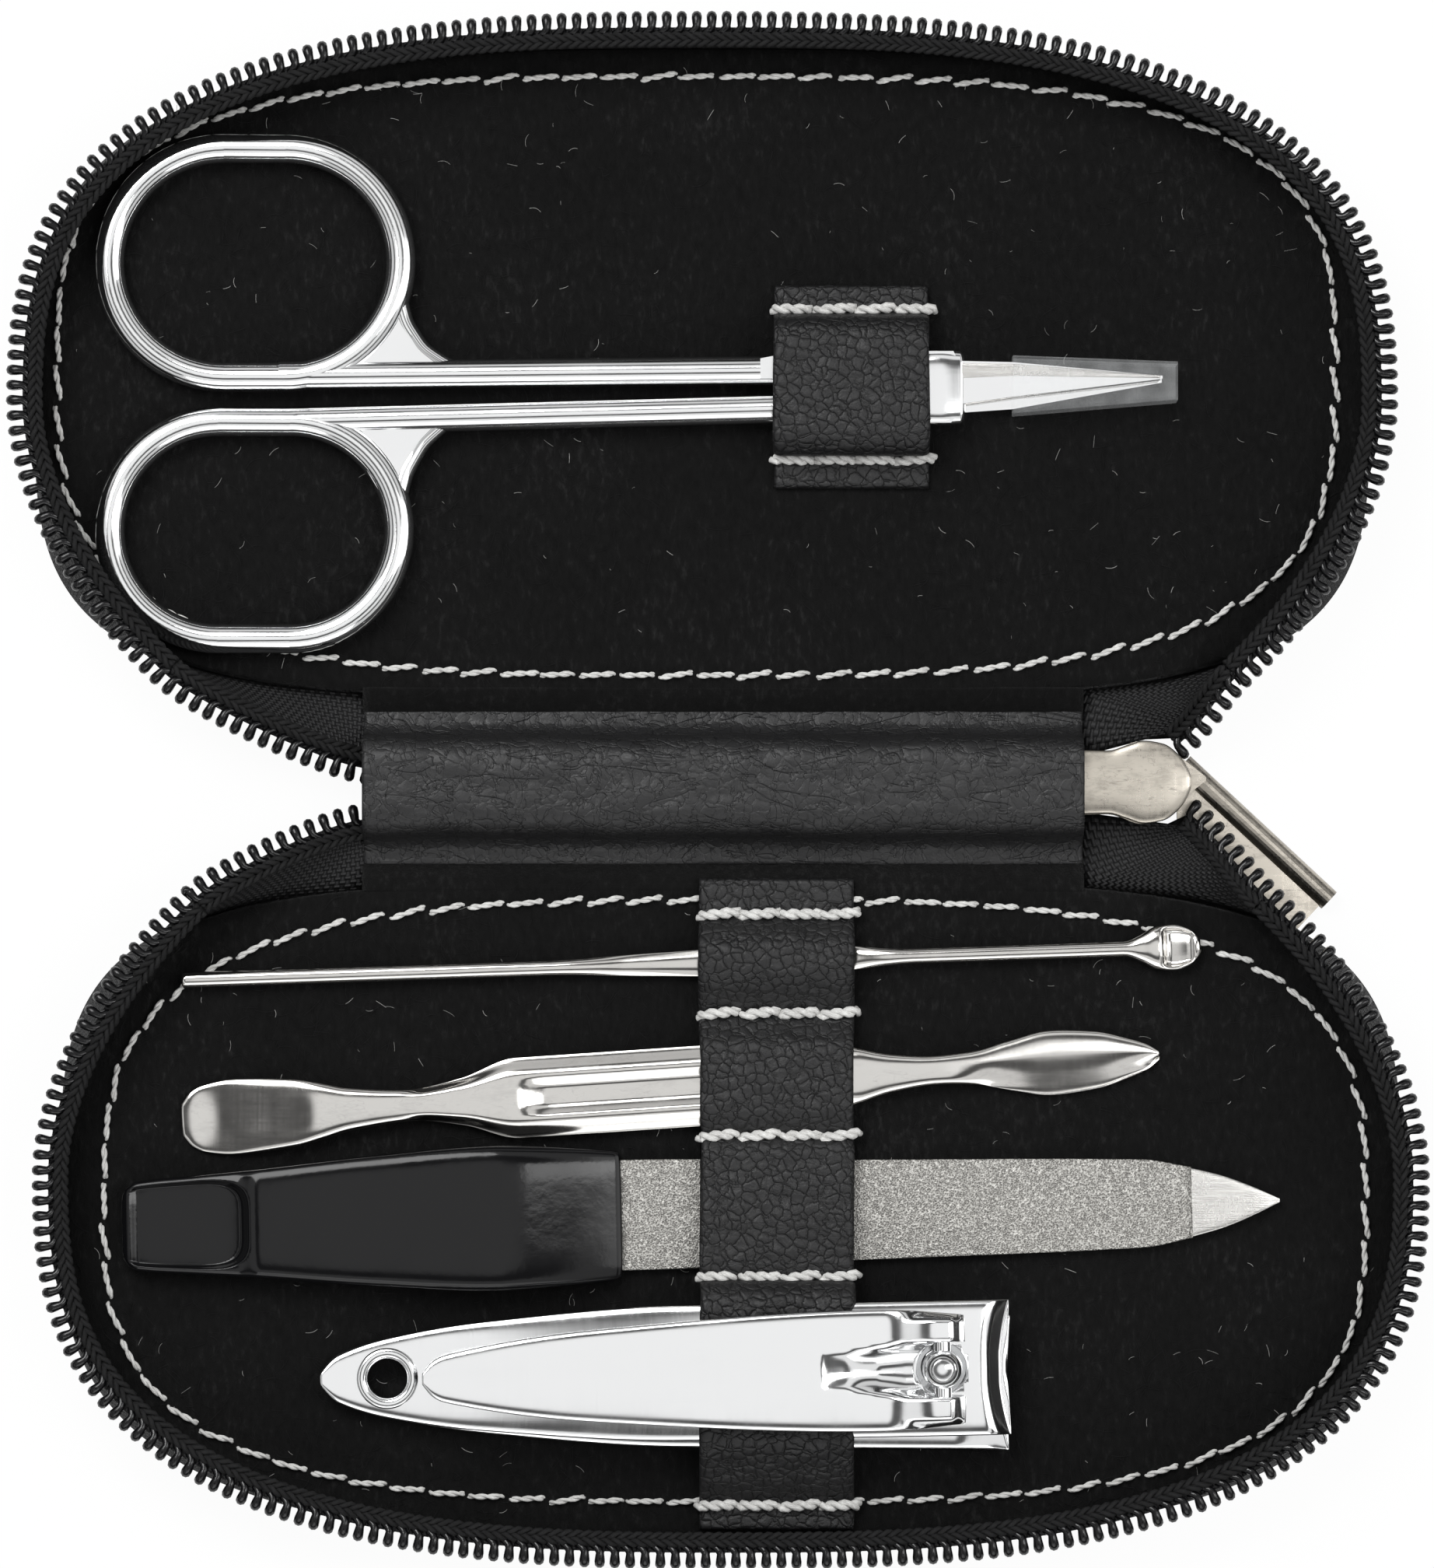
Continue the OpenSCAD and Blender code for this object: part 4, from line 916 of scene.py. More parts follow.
class MANICURE_OT_panels(bpy.types.Operator):
    """Builds the leather covers, the velvet linings and their stitching"""
    bl_idname = "manicure.build_panels"
    bl_label = "Build panels"

    def execute(self, context):
        settings = context.scene.manicure_panels
        top = settings.lining_height
        for index, (half, place) in enumerate(HALVES.items()):
            cover = section_piece(f"{half}_cover", panel_sections(COVER_RINGS, half))
            add_piece(cover, "cover_leather", half, f"{half}_shell")
            lining = section_piece(f"{half}_velvet", lining_sections(half, top, 7.0 * index))
            add_piece(lining, "velvet", half, f"{half}_lining")
            middle_x, shape = LINING_STITCHES[half]
            line = oval(np.linspace(0, FULL_TURN, STITCH_STEPS, endpoint=False), shape)
            line = np.column_stack([line[:, 0] + middle_x, line[:, 1] * place["side"],
                                    np.full(STITCH_STEPS, top + 0.12)])
            stitches = stitch_lines(line, True, settings, 0.16, 11 + index)
            add_piece(tubes_piece(f"{half}_lining_stitches", stitches, 7), "white_thread", half)
            rng = random.Random(5 + index)
            fibres = scattered(half, 1.2, settings.fibre_count, rng, top + 0.03,
                               (0.5, 2.0), (0.012, 0.025), 0.35)
            add_piece(tubes_piece(f"{half}_velvet_fibres", fibres, 3), "black_thread", half)
            lint = scattered(half, 2.0, settings.lint_count, rng, top + 0.06,
                             (0.15, 1.1), (0.006, 0.013), 0.3)
            add_piece(tubes_piece(f"{half}_lint", lint, 4), "white_thread", half)
        return {"FINISHED"}


# Spine, in millimetres
SPINE_HALF_LENGTH = 29.2
SPINE_HALF_WIDTH = 6.4
POCKET_MIDDLE = 0.2
POCKET_HALF = 3.7
POCKET_ROOF = 5.1
PAD_HALF = 3.1
PAD_THICKNESS = 1.5
# Strips beside the spine where the case folds: finish, (y, z) points, count of points on the line and rounds
# of easing, thickness, and where the bend starts and stops
VELVET_STRIP = ((5.9, COVER_TOP), (6.5, COVER_TOP + 0.5), (7.4, LINING_TOP - 0.6), (8.2, LINING_TOP - 0.25))
LEATHER_STRIP = ((5.6, 0.25), (8.4, 0.25))
FOLD_STRIPS = {
    "fold_velvet": ("velvet", (VELVET_STRIP, 24, 3), 0.3, (8.0, 6.2)),
    "fold_leather": ("cover_leather", (LEATHER_STRIP, 14, 0), 0.4, (7.2, 6.3)),
}


class SpineSettings(bpy.types.PropertyGroup):
    leather_thickness: millimetres("Leather thickness", "Thickness of the pocket leather", 0.7, 0.4, 1)
    wrinkle: millimetres("Wrinkles", "Height of the soft creases", 0.16, 0, 0.5)


def layer_section(line, thickness):
    """Closed section of a layer of even thickness on top of a line of (y, z) points, with rounded edges."""
    line = np.asarray(line, float)
    along = unit(np.gradient(line, axis=0))
    over = np.stack([-along[:, 1], along[:, 0]], 1)
    outer = line + over * thickness
    start = (line[0] + outer[0]) / 2 - along[0] * thickness * 0.4
    end = (line[-1] + outer[-1]) / 2 + along[-1] * thickness * 0.4
    return np.concatenate([line, [end], outer[::-1], [start]])


def eased_line(points, count, rounds):
    """A line through some points in evenly spaced points, with eased corners."""
    return softened(resample(np.asarray(points, float), count), rounds)


def along_x(section, first, last, steps):
    """The same section in the YZ plane set up at steps along X."""
    places = np.linspace(first, last, steps)
    return np.stack([np.column_stack([np.full(len(section), x), section]) for x in places])


def along_spine(line, thickness, steps, inset=0.0):
    """A layer on a line of (y, z) points, over the length of the spine."""
    reach = SPINE_HALF_LENGTH - inset
    return along_x(layer_section(line, thickness), -reach, reach, steps)


def pocket_sections(settings):
    """The domed pocket of the tweezers with its soft creases."""
    slope = [(SPINE_HALF_WIDTH - 0.3, COVER_TOP), (POCKET_HALF + 1.2, COVER_TOP + 0.1),
             (POCKET_HALF + 0.4, COVER_TOP + 0.7), (POCKET_HALF - 0.15, COVER_TOP + 1.6),
             (POCKET_HALF - 0.5, POCKET_ROOF - 0.7), (POCKET_HALF - 1.4, POCKET_ROOF)]
    line = [(POCKET_MIDDLE - away, height) for away, height in slope]
    line += [(POCKET_MIDDLE + away, height) for away, height in reversed(slope)]
    pocket = along_spine(eased_line(line, 90, 8), settings.leather_thickness, 150, 0.1)
    lift = np.clip((pocket[..., 2] - COVER_TOP) / 2, 0, 1)
    pocket[..., 2] += lift * np.abs(wobble(pocket * (1, 1.6, 1), settings.wrinkle * 1.6, 0.28, 4.0))
    pocket[..., 1] += lift * wobble(pocket, settings.wrinkle, 0.2, 9.0)
    return pocket


class MANICURE_OT_spine(bpy.types.Operator):
    """Builds the spine leather, its padding and the pocket for the tweezers"""
    bl_idname = "manicure.build_spine"
    bl_label = "Build spine"

    def execute(self, context):
        settings = context.scene.manicure_spine
        cover_line = eased_line([(-SPINE_HALF_WIDTH, 0), (SPINE_HALF_WIDTH, 0)], 40, 0)
        cover = section_piece("spine_leather", along_spine(cover_line, COVER_TOP, 60))
        add_piece(cover, "cover_leather", "spine", "spine_cover")
        pocket = section_piece("tweezer_pocket", pocket_sections(settings))
        add_piece(pocket, "cover_leather", "spine", "spine_pocket")
        for half, place in HALVES.items():
            side = place["side"]
            for name, (finish, shape, thickness, bend) in FOLD_STRIPS.items():
                line = (eased_line(*shape) * (side, 1))[::side]
                strip = section_piece(f"{half}_{name}", along_spine(line, thickness, 60))
                dress(turned_out(strip), finish)
                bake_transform(strip)
        pad_ends = [(POCKET_MIDDLE - PAD_HALF, COVER_TOP), (POCKET_MIDDLE + PAD_HALF, COVER_TOP)]
        pad_line = eased_line(pad_ends, 20, 0)
        padding = section_piece("pocket_padding", along_spine(pad_line, PAD_THICKNESS, 40, 1))
        add_piece(padding, "velvet", "spine", "spine_padding")
        return {"FINISHED"}


# Middle of the base strap along X, and where each tool of the base lies on it: middle across the
# strap, turn in degrees, and its ends along X from the strap, in millimetres
STRAP_X = 4.3
PUSHER = {"y": -23.6, "turn": 3.8, "back": -47.9, "front": 30.9}
EAR_PICK = {"y": -13.9, "turn": 1.9, "back": -47.9, "front": 34.1}
FILE = {"y": -34.15, "turn": 1.3, "back": -52.6, "front": 40.6}
CLIPPER = {"y": -46.9, "turn": 1.1, "back": -36.7, "front": 18.7}

# Straps: middle along X, width, ends, stitches, and loops as (middle, half width, top), in millimetres
STRAPS = {
    "tool_strap": {
        "body": "base",
        "x": STRAP_X,
        "width": 12.4,
        "ends": (-59.5, -7.5),
        "stitches": (-57.4, -39.6, -28.8, -18.1, -10.4),
        "loops": ((CLIPPER["y"], 6.2, 6.35), (FILE["y"], 5.4, 4.1), (PUSHER["y"], 3.3, 4.3),
                  (EAR_PICK["y"], 1.75, 4.5)),
    },
    "scissor_strap": {
        "body": "lid",
        "x": 10.4,
        "width": 12.6,
        "ends": (24.6, 40.6),
        "stitches": (27.3, 38.4),
        "loops": ((32.4, 4.6, 6.2),),
    },
}
STRAP_STEPS = 56
STITCH_OVERHANG = 0.35


class StrapSettings(bpy.types.PropertyGroup):
    thickness: millimetres("Thickness", "Thickness of the strap leather", 0.7, 0.4, 1)
    clearance: millimetres("Clearance", "Room between a tool and its loop", 0.3, 0.1, 0.6)
    wrinkle: millimetres("Wrinkles", "Height of the soft creases", 0.1, 0, 0.4)
    stitch_pitch: millimetres("Stitch pitch", "Distance between stitches", 3.3, 2, 5)
    stitch_length: millimetres("Stitch length", "Length of a stitch", 3.2, 1, 4)
    thread_radius: millimetres("Thread radius", "Radius of one ply", 0.25, 0.1, 0.4)


def strap_line(strap, settings):
    """Inner face of a strap as (y, z) points, over all of its loops."""
    base = LINING_TOP + 0.03
    first, last = strap["ends"]
    stitches = strap["stitches"]
    points = [(first, base), (stitches[0] - 0.5, base), (stitches[0] + 0.35, base)]
    for i, (middle, half, top) in enumerate(strap["loops"]):
        side = half + settings.clearance
        roof = top + settings.clearance
        points += [(middle - side, roof - 0.75), (middle - side + 0.9, roof), (middle, roof + 0.06),
                   (middle + side - 0.9, roof), (middle + side, roof - 0.75)]
        points += [(stitches[i + 1] - 0.35, base), (stitches[i + 1] + 0.35, base)]
    points.append((last, base))
    run = abs(last - first)
    return eased_line(points, int(run / 0.16), 7)


def strap_sections(strap, profile, settings, index):
    """A strap with soft creases over its loops and rounded cut edges."""
    half = strap["width"] / 2
    sections = along_x(profile, strap["x"] - half, strap["x"] + half, STRAP_STEPS)
    lift = np.clip((sections[..., 2] - LINING_TOP - 0.8) / 1.0, 0, 1)
    wave = wobble(sections * (1.3, 1.0, 0.0), settings.wrinkle * 2.2, 0.33, 5.0 * index)
    fine = wobble(sections * (0.6, 1.8, 0.0), settings.wrinkle, 0.8, 3.0 * index)
    sections[..., 2] += lift * (np.abs(wave) + fine)
    sections[..., 0] += wobble(sections, 0.22, 0.22, 8.0)
    edge = settings.thickness * 0.3
    count = len(profile) // 2 - 1
    for place, amount in ((0, 1.0), (1, 0.3), (-1, 1.0), (-2, 0.3)):
        outer = sections[place, count + 1:-1][::-1]
        inner = sections[place, :count]
        over = unit(outer - inner) * edge * amount
        sections[place, :count] = inner + over
        sections[place, count + 1:-1] = (outer - over)[::-1]
    return sections


def strap_seam(strap, outer, y):
    """Line of a seam across a strap, laid in the lowest place of its outer face near y."""
    reach = strap["width"] / 2 + STITCH_OVERHANG
    places = np.linspace(strap["x"] - reach, strap["x"] + reach, 60)
    spots = np.linspace(y - 0.9, y + 0.9, 37)
    tops = np.array([outer[np.abs(outer[:, 0] - spot) < 0.15, 1].max() for spot in spots])
    best = np.argmin(tops + 0.05 * np.abs(spots - y))
    return np.column_stack([places, np.full(60, spots[best]), np.full(60, tops[best] + 0.16)])


class MANICURE_OT_straps(bpy.types.Operator):
    """Builds the leather straps with their loops and thick stitches"""
    bl_idname = "manicure.build_straps"
    bl_label = "Build straps"

    def execute(self, context):
        settings = context.scene.manicure_straps
        for index, (name, strap) in enumerate(STRAPS.items()):
            line = strap_line(strap, settings)
            profile = layer_section(line, settings.thickness)
            piece = section_piece(f"{name}_leather", strap_sections(strap, profile, settings, index))
            add_piece(piece, "leather", strap["body"], name)
            outer = profile[len(line) + 1:-1]
            found = []
            for row, y in enumerate(strap["stitches"]):
                seam = strap_seam(strap, outer, y)
                found += stitch_lines(seam, False, settings, 0.2, 31 + row + 9 * index, slant=0.03)
            add_piece(tubes_piece(f"{name}_stitches", found, 8), "white_thread", strap["body"])
        return {"FINISHED"}


def laid(points, tool):
    """Points drawn from the strap outwards, moved to where the tool lies."""
    points = np.asarray(points, float)
    angle = math.radians(tool["turn"])
    c, s = math.cos(angle), math.sin(angle)
    moved = points.copy()
    moved[..., 0] = STRAP_X + points[..., 0] * c - points[..., 1] * s
    moved[..., 1] = tool["y"] + points[..., 0] * s + points[..., 1] * c
    moved[..., 2] = TOOL_BASE + points[..., 2]
    return moved


def eased(stations, places):
    """Values between stations along X by monotone cubic easing; each station is (x, value, value...)."""
    table = np.array(stations, float)
    xs = table[:, 0]
    gaps = np.diff(xs)
    found = []
    for column in range(1, table.shape[1]):
        values = table[:, column]
        rises = np.diff(values) / gaps
        slopes = np.zeros(len(xs))
        slopes[0], slopes[-1] = rises[0], rises[-1]
        same = rises[:-1] * rises[1:] > 0
        sums = np.where(same, rises[:-1] + rises[1:], 1)
        slopes[1:-1] = np.where(same, 2 * rises[:-1] * rises[1:] / sums, 0)
        spot = np.clip(np.searchsorted(xs, places) - 1, 0, len(gaps) - 1)
        u = (places - xs[spot]) / gaps[spot]
        found.append(values[spot] * (1 + 2 * u) * (1 - u) ** 2
                     + slopes[spot] * gaps[spot] * u * (1 - u) ** 2
                     + values[spot + 1] * u * u * (3 - 2 * u)
                     + slopes[spot + 1] * gaps[spot] * u * u * (u - 1))
    return np.stack(found, 1)


def loft_sections(stations, steps, squareness=5.0, around=56, shape=None, ends=0.25):
    """Rounded sections along X from stations of (x, half width, lowest, highest)."""
    first, last = stations[0][0], stations[-1][0]
    spread = (1 - np.cos(np.linspace(0, math.pi, steps))) / 2
    places = first + (last - first) * (0.6 * np.linspace(0, 1, steps) + 0.4 * spread)
    values = eased(stations, places)
    turns = np.linspace(0, FULL_TURN, around, endpoint=False) + math.pi / around
    cy = signed_power(np.cos(turns), 2 / squareness)
    cz = signed_power(np.sin(turns), 2 / squareness)
    rows = []
    for x, (half, low, high) in zip(places, values):
        heights = (low + high) / 2 + (high - low) / 2 * cz
        rows.append(np.column_stack([np.full(around, x), half * cy, heights]))
    sections = np.stack(rows)
    if shape is not None:
        sections = shape(sections)
    closing = []
    for row, way in ((sections[0], -1), (sections[-1], 1)):
        middle = row.mean(axis=0)
        size = ends * min(1.0, np.ptp(row[:, 1]) / 2)
        closing.append([middle + (row - middle) * share + (way * size * lift, 0, 0)
                        for share, lift in ((0.9, 0.55), (0.6, 0.85), (0.1, 1.0))])
    return np.concatenate([np.stack(closing[0][::-1]), sections, np.stack(closing[1])])


def smooth_step(value, low, high):
    """An eased step from 0 at low to 1 at high; low may be the greater."""
    u = np.clip((value - low) / (high - low), 0, 1)
    return u * u * (3 - 2 * u)


def top_share(sections):
    """How much each point belongs to the upper face, from 0 to 1."""
    low = sections[..., 2].min(axis=1, keepdims=True)
    high = sections[..., 2].max(axis=1, keepdims=True)
    return smooth_step((sections[..., 2] - low) / np.maximum(high - low, 1e-6), 0.45, 0.95)


def half_width(sections, least=0.2):
    """Half the width of each section."""
    return np.maximum(np.abs(sections[..., 1]).max(axis=1, keepdims=True), least)


def add_tool(name, sections, finish, body, *nodes):
    """Adds a lofted piece of a tool."""
    return add_piece(section_piece(name, sections), finish, body, *nodes)


def pusher_shape(sections):
    """Shallow spoon at the back, pressed channel in the grip, and one slope along the blade."""
    x, y = sections[..., 0], sections[..., 1]
    back, front = PUSHER["back"], PUSHER["front"]
    share = top_share(sections)
    half = half_width(sections)
    spoon = smooth_step(x, back + 12, back + 8) * (1 - (y / half) ** 2)
    sections[..., 2] -= share * spoon * 0.15 * smooth_step(x, back + 0.3, back + 3.5)
    run = smooth_step(x, back + 26.5, back + 29.5) * smooth_step(x, front - 28.5, front - 31.5)
    channel = (1 - smooth_step(np.abs(y), 0.9, 1.55)) * run
    sections[..., 2] -= share * channel * 0.5
    neck = smooth_step(x, back + 17.5, back + 20) * smooth_step(x, front - 24, front - 27)
    shoulder = smooth_step(np.abs(y) / half, 0.55, 1.0) * neck
    sections[..., 2] -= share * shoulder * 0.45
    blade = smooth_step(x, front - 17, front - 13)
    sections[..., 2] -= share * blade * smooth_step(-y / half, -0.35, 0.9) * 0.4
    return sections


def handle_shape(sections):
    """Thumb rest with a rounded front pressed into the back of the handle."""
    x, y = sections[..., 0], sections[..., 1]
    back = FILE["back"]
    share = top_share(sections)
    half = half_width(sections)
    along = np.clip((x - back - 4.0) / 6.2, 0, 2)
    away = (np.abs(y) / half / 0.9) ** 4 + along ** 4
    dent = (1 - smooth_step(away, 0.62, 1.0)) * smooth_step(x, back + 0.3, back + 1.2)
    sections[..., 2] -= share * dent * (0.45 + 0.55 * smooth_step(x, back + 1.5, back + 9.5))
    return sections


def build_pusher():
    """Cuticle pusher with its spoon, pressed grip and sloped blade."""
    back, front = PUSHER["back"], PUSHER["front"]
    half = 3.25
    stations = [
        (back, 1.5, 0, 0.35), (back + 0.5, 2.15, 0, 0.4), (back + 1.6, 2.7, 0, 0.48),
        (back + 4, 3.05, 0, 0.8), (back + 9, 2.75, 0, 1.5), (back + 11, 2.35, 0, 1.62),
        (back + 13.5, 1.75, 0, 1.6), (back + 18.5, 1.3, 0, 1.5), (back + 22.5, 1.9, 0, 1.5),
        (back + 27, half, 0, 1.5), (front - 29, half, 0, 1.5), (front - 24.7, 2.35, 0, 1.5),
        (front - 21.5, 1.55, 0, 1.45), (front - 18, 1.2, 0, 1.4), (front - 15, 1.35, 0, 1.3),
        (front - 12, 2.0, 0, 1.15), (front - 8.7, 2.6, 0, 1.0), (front - 5, 2.3, 0, 0.85),
        (front - 2.5, 1.6, 0.1, 0.72),
        (front - 0.8, 0.95, 0.15, 0.62), (front, 0.4, 0.25, 0.55),
    ]
    sections = loft_sections(stations, 190, 3.6, 72, pusher_shape)
    add_tool("pusher_body", laid(sections, PUSHER), "nickel", "cuticle_pusher", "cuticle_pusher")


def pick_shape(sections):
    """Cup in the head of the ear pick, and its flattened grip."""
    x, y = sections[..., 0], sections[..., 1]
    front = EAR_PICK["front"]
    share = top_share(sections)
    inside = 1 - smooth_step(np.abs(y) / half_width(sections), 0.7, 0.9)
    cup = smooth_step(x, front - 3.0, front - 2.5) * inside
    depth = 1.1 - 0.3 * (x - front + 2.5)
    sections[..., 2] -= share * cup * smooth_step(x, front - 0.2, front - 0.6) * depth
    grip = smooth_step(x, -17, -12) * smooth_step(x, 9.5, 6)
    sections[..., 2] -= share * grip * 0.25
    return sections


def build_ear_pick():
    """Ear pick with its round rod, flattened grip and cupped head."""
    back, front = EAR_PICK["back"], EAR_PICK["front"]
    rod = 0.65
    stations = [
        (back, rod, 0, 1.3), (-19, rod, 0, 1.3), (-10, 0.95, 0.05, 1.2), (-3, 1.15, 0.1, 1.1),
        (3, 1.15, 0.1, 1.1), (9, 0.75, 0, 1.3), (11, rod, 0, 1.3), (front - 6, rod, 0, 1.3),
        (front - 4.6, 1.15, 0, 1.35), (front - 3.4, 1.75, 0, 1.45), (front - 2.0, 1.9, 0, 1.45),
        (front - 0.7, 1.5, 0.05, 1.4), (front, 0.8, 0.3, 1.1),
    ]
    sections = loft_sections(stations, 200, 2.3, 40, pick_shape)
    add_tool("ear_pick_body", laid(sections, EAR_PICK), "nickel", "ear_pick", "ear_pick")


def build_file():
    """Nail file: moulded handle, blade with its grit, and the bare steel tip."""
    back, front = FILE["back"], FILE["front"]
    handle_front = back + 40.0
    tip = front - 7.1
    low, high = 0.02, 0.78
    stations = [
        (back, 2.7, 0.5, 1.7), (back + 0.35, 3.2, 0.2, 2.0), (back + 1.2, 3.6, 0.05, 2.2),
        (back + 6, 4.0, 0, 2.3), (back + 9.2, 4.25, 0, 2.5), (back + 11, 4.4, 0, 2.95),
        (back + 20, 5.25, 0, 3.2), (back + 30, 5.85, 0, 3.4), (back + 31.5, 5.8, 0, 3.3),
        (handle_front - 0.4, 5.2, 0, 1.6), (handle_front, 5.05, 0.1, 1.4),
    ]
    sections = loft_sections(stations, 230, 6.0, 128, handle_shape, ends=0.15)
    add_tool("file_handle_body", laid(sections, FILE), "black_plastic", "nail_file", "file_handle")
    stations = [(handle_front - 6, 3.6, low, high), (handle_front, 4.45, low, high), (6, 4.05, low, high),
                (tip - 4, 3.55, low, high), (tip, 2.85, low, high)]
    sections = loft_sections(stations, 60, 14.0, 40, ends=0.02)
    add_tool("file_grit", laid(sections, FILE), "grit", "nail_file", "file_blade")
    stations = [(tip - 0.4, 2.88, 0.08, 0.72), (tip + 2.4, 2.15, 0.08, 0.72), (front - 2, 1.1, 0.1, 0.7),
                (front, 0.15, 0.2, 0.6)]
    sections = loft_sections(stations, 50, 9.0, 40, ends=0.1)
    add_tool("file_tip", laid(sections, FILE), "blade_steel", "nail_file")


# Upper arm of the tweezers, in millimetres: middle along Y, tip and end along X, its underside and thickness
TWEEZERS = {"y": 0.5, "tip": -26.25, "end": 37.75, "low": 3.5, "thick": 0.9}


def tweezer_shape(sections):
    """Crease in the head of the tweezers, and the arm's soft crown."""
    x, y = sections[..., 0], sections[..., 1]
    end = TWEEZERS["end"]
    share = top_share(sections)
    half = half_width(sections)
    crease = (1 - smooth_step(np.abs(y), 0.0, 0.22)) * smooth_step(x, end - 0.4, end - 1.2)
    sections[..., 2] -= share * 0.3 * crease
    sections[..., 2] += share * 0.14 * (1 - (np.abs(y) / half) ** 2)
    return sections


def build_tweezers():
    """Upper arm of the tweezers with its creased round head."""
    end, tip, low = TWEEZERS["end"], TWEEZERS["tip"], TWEEZERS["low"]
    high = low + TWEEZERS["thick"]
    stations = [
        (tip, 0.6, low + 0.55, high + 0.55), (tip + 4, 1.4, low + 0.5, high + 0.5),
        (tip + 24, 2.7, low + 0.3, high + 0.3), (end - 12, 2.7, low, high), (end - 6.6, 2.55, low, high),
        (end - 5.2, 2.95, low, high), (end - 3.8, 3.35, low, high), (end - 2.2, 3.1, low, high),
        (end - 0.9, 2.15, low, high - 0.02), (end - 0.2, 1.1, low, high - 0.05),
        (end, 0.6, low + 0.05, high - 0.1),
    ]
    sections = loft_sections(stations, 170, 6.0, 72, tweezer_shape, ends=0.12)
    sections[..., 1] += TWEEZERS["y"]
    add_tool("tweezer_upper_body", sections, "worn_nickel", "tweezer_arm", "tweezer_upper_arm")


# Height of the middle of the scissors' rods, in millimetres
WIRE_LEVEL = 4.02

# Webs where the finger rings run into the shanks: the rim's points, the arc of the ring beside it as
# (middle x, middle y, half length, half width), and the way that it opens
WEB_RIMS = {
    "upper": ([(-20.3, 33.75), (-22.4, 34.2), (-24.4, 35.5), (-25.8, 37.6), (-26.6, 40.6)],
              (-37.9, 42.6, 11.8, 9.3), 1),
    "lower": ([(-20.3, 30.25), (-22.4, 29.75), (-24.4, 28.0), (-25.8, 25.6), (-26.6, 22.6)],
              (-37.9, 20.9, 11.7, 8.8), -1),
}


def build_scissor_webs():
    """Smooth webs between the finger rings and the shanks, with rolled rims."""
    count, across = 30, 14
    for name, (rim, (ring_x, ring_y, ring_length, ring_half), way) in WEB_RIMS.items():
        body = f"scissor_{name}"
        rim = softened(resample(np.array(rim), count), 3)
        turns = np.linspace(math.radians(-88), math.radians(-8), count)
        arc = np.column_stack([ring_x + ring_length - ring_half + ring_half * np.cos(turns),
                               ring_y + way * ring_half * np.sin(turns)])
        share = np.linspace(0, 1, across)[None, :, None]
        flat = arc[:, None] * (1 - share) + rim[:, None] * share
        sag = 0.3 * np.sin(math.pi * share[..., 0]) + 0.2 * share[..., 0]
        crown = WIRE_LEVEL + 0.95 - sag + 0 * flat[..., 0]
        upper = np.concatenate([flat, crown[..., None]], 2)
        lower = np.concatenate([flat, (2 * WIRE_LEVEL - crown)[..., None]], 2)
        fill = section_piece(f"{body}_web", np.concatenate([upper, lower[:, ::-1]], 1))
        add_piece(fill, "chrome", body)
        line = np.column_stack([rim, np.full(count, WIRE_LEVEL)])
        rod = tubes_piece(f"{body}_web_rim", [(line, np.linspace(0.6, 0.85, count), False)], 20)
        add_piece(rod, "chrome", body)


def ground(sections):
    """Bevel ground along the cutting edge of the upper blade."""
    y = sections[..., 1]
    half = half_width(sections, 0.1)
    slope = smooth_step(-y / half, -0.1, 0.95) * np.minimum(0.4, half * 0.3)
    sections[..., 2] -= top_share(sections) * slope
    return sections


def build_scissor_blade():
    """Rounded shoulder in front of the screw, and the ground upper blade."""
    top, under_blade, under_shoulder = 5.24, 4.06, 2.86
    stations = [(15.2, 2.95, under_shoulder, top + 0.14), (17.6, 3.05, under_shoulder, top + 0.2),
                (19.2, 2.95, under_shoulder, top + 0.1)]
    shoulder = loft_sections(stations, 40, 5.0, 64, ends=0.45)
    shoulder[..., 1] += 32.4
    add_tool("scissor_shoulder", shoulder, "chrome", "scissor_upper")
    stations = [(18.9, 1.85, under_blade, top + 0.05), (23.4, 1.47, under_blade, top + 0.05),
                (35.3, 0.22, under_blade, top + 0.03)]
    blade = loft_sections(stations, 90, 6.0, 48, ground, ends=0.1)
    blade[..., 1] += np.interp(blade[..., 0], (19, 23.4, 35.5), (32.75, 33.0, 33.17))
    add_tool("scissor_upper_blade", blade, "blade_steel", "scissor_upper")


def baked(piece):
    """The piece with its modifiers made part of its mesh."""
    graph = bpy.context.evaluated_depsgraph_get()
    mesh = bpy.data.meshes.new_from_object(piece.evaluated_get(graph))
    piece.modifiers.clear()
    piece.data = mesh
    return piece


def cut_through(piece, outline, low, high):
    """Cuts an upright opening of an outline of (x, y) points through a piece, before it is dressed."""
    outline = np.asarray(outline, float)
    sections = np.stack([np.column_stack([outline, np.full(len(outline), z)]) for z in (low, high)])
    cutter = turned_out(section_piece("cutter", sections))
    cut = piece.modifiers.new("opening", "BOOLEAN")
    cut.operation = "DIFFERENCE"
    cut.solver = "EXACT"
    cut.object = cutter
    bpy.context.view_layer.update()
    baked(piece)
    bpy.data.objects.remove(cutter)
    return piece


def circle(middle, radius, around=48):
    """Outline of a round hole."""
    turns = np.linspace(0, FULL_TURN, around, endpoint=False)
    return np.column_stack([middle[0] + radius * np.cos(turns), middle[1] + radius * np.sin(turns)])


def lathe_sections(profile, x, around=48):
    """Sections of a turned piece at a place along X, from its (radius, height) pairs."""
    turns = np.linspace(0, FULL_TURN, around, endpoint=False)
    return np.stack([np.column_stack([r * np.cos(turns) + x, r * np.sin(turns), np.full(around, z)])
                     for r, z in profile])


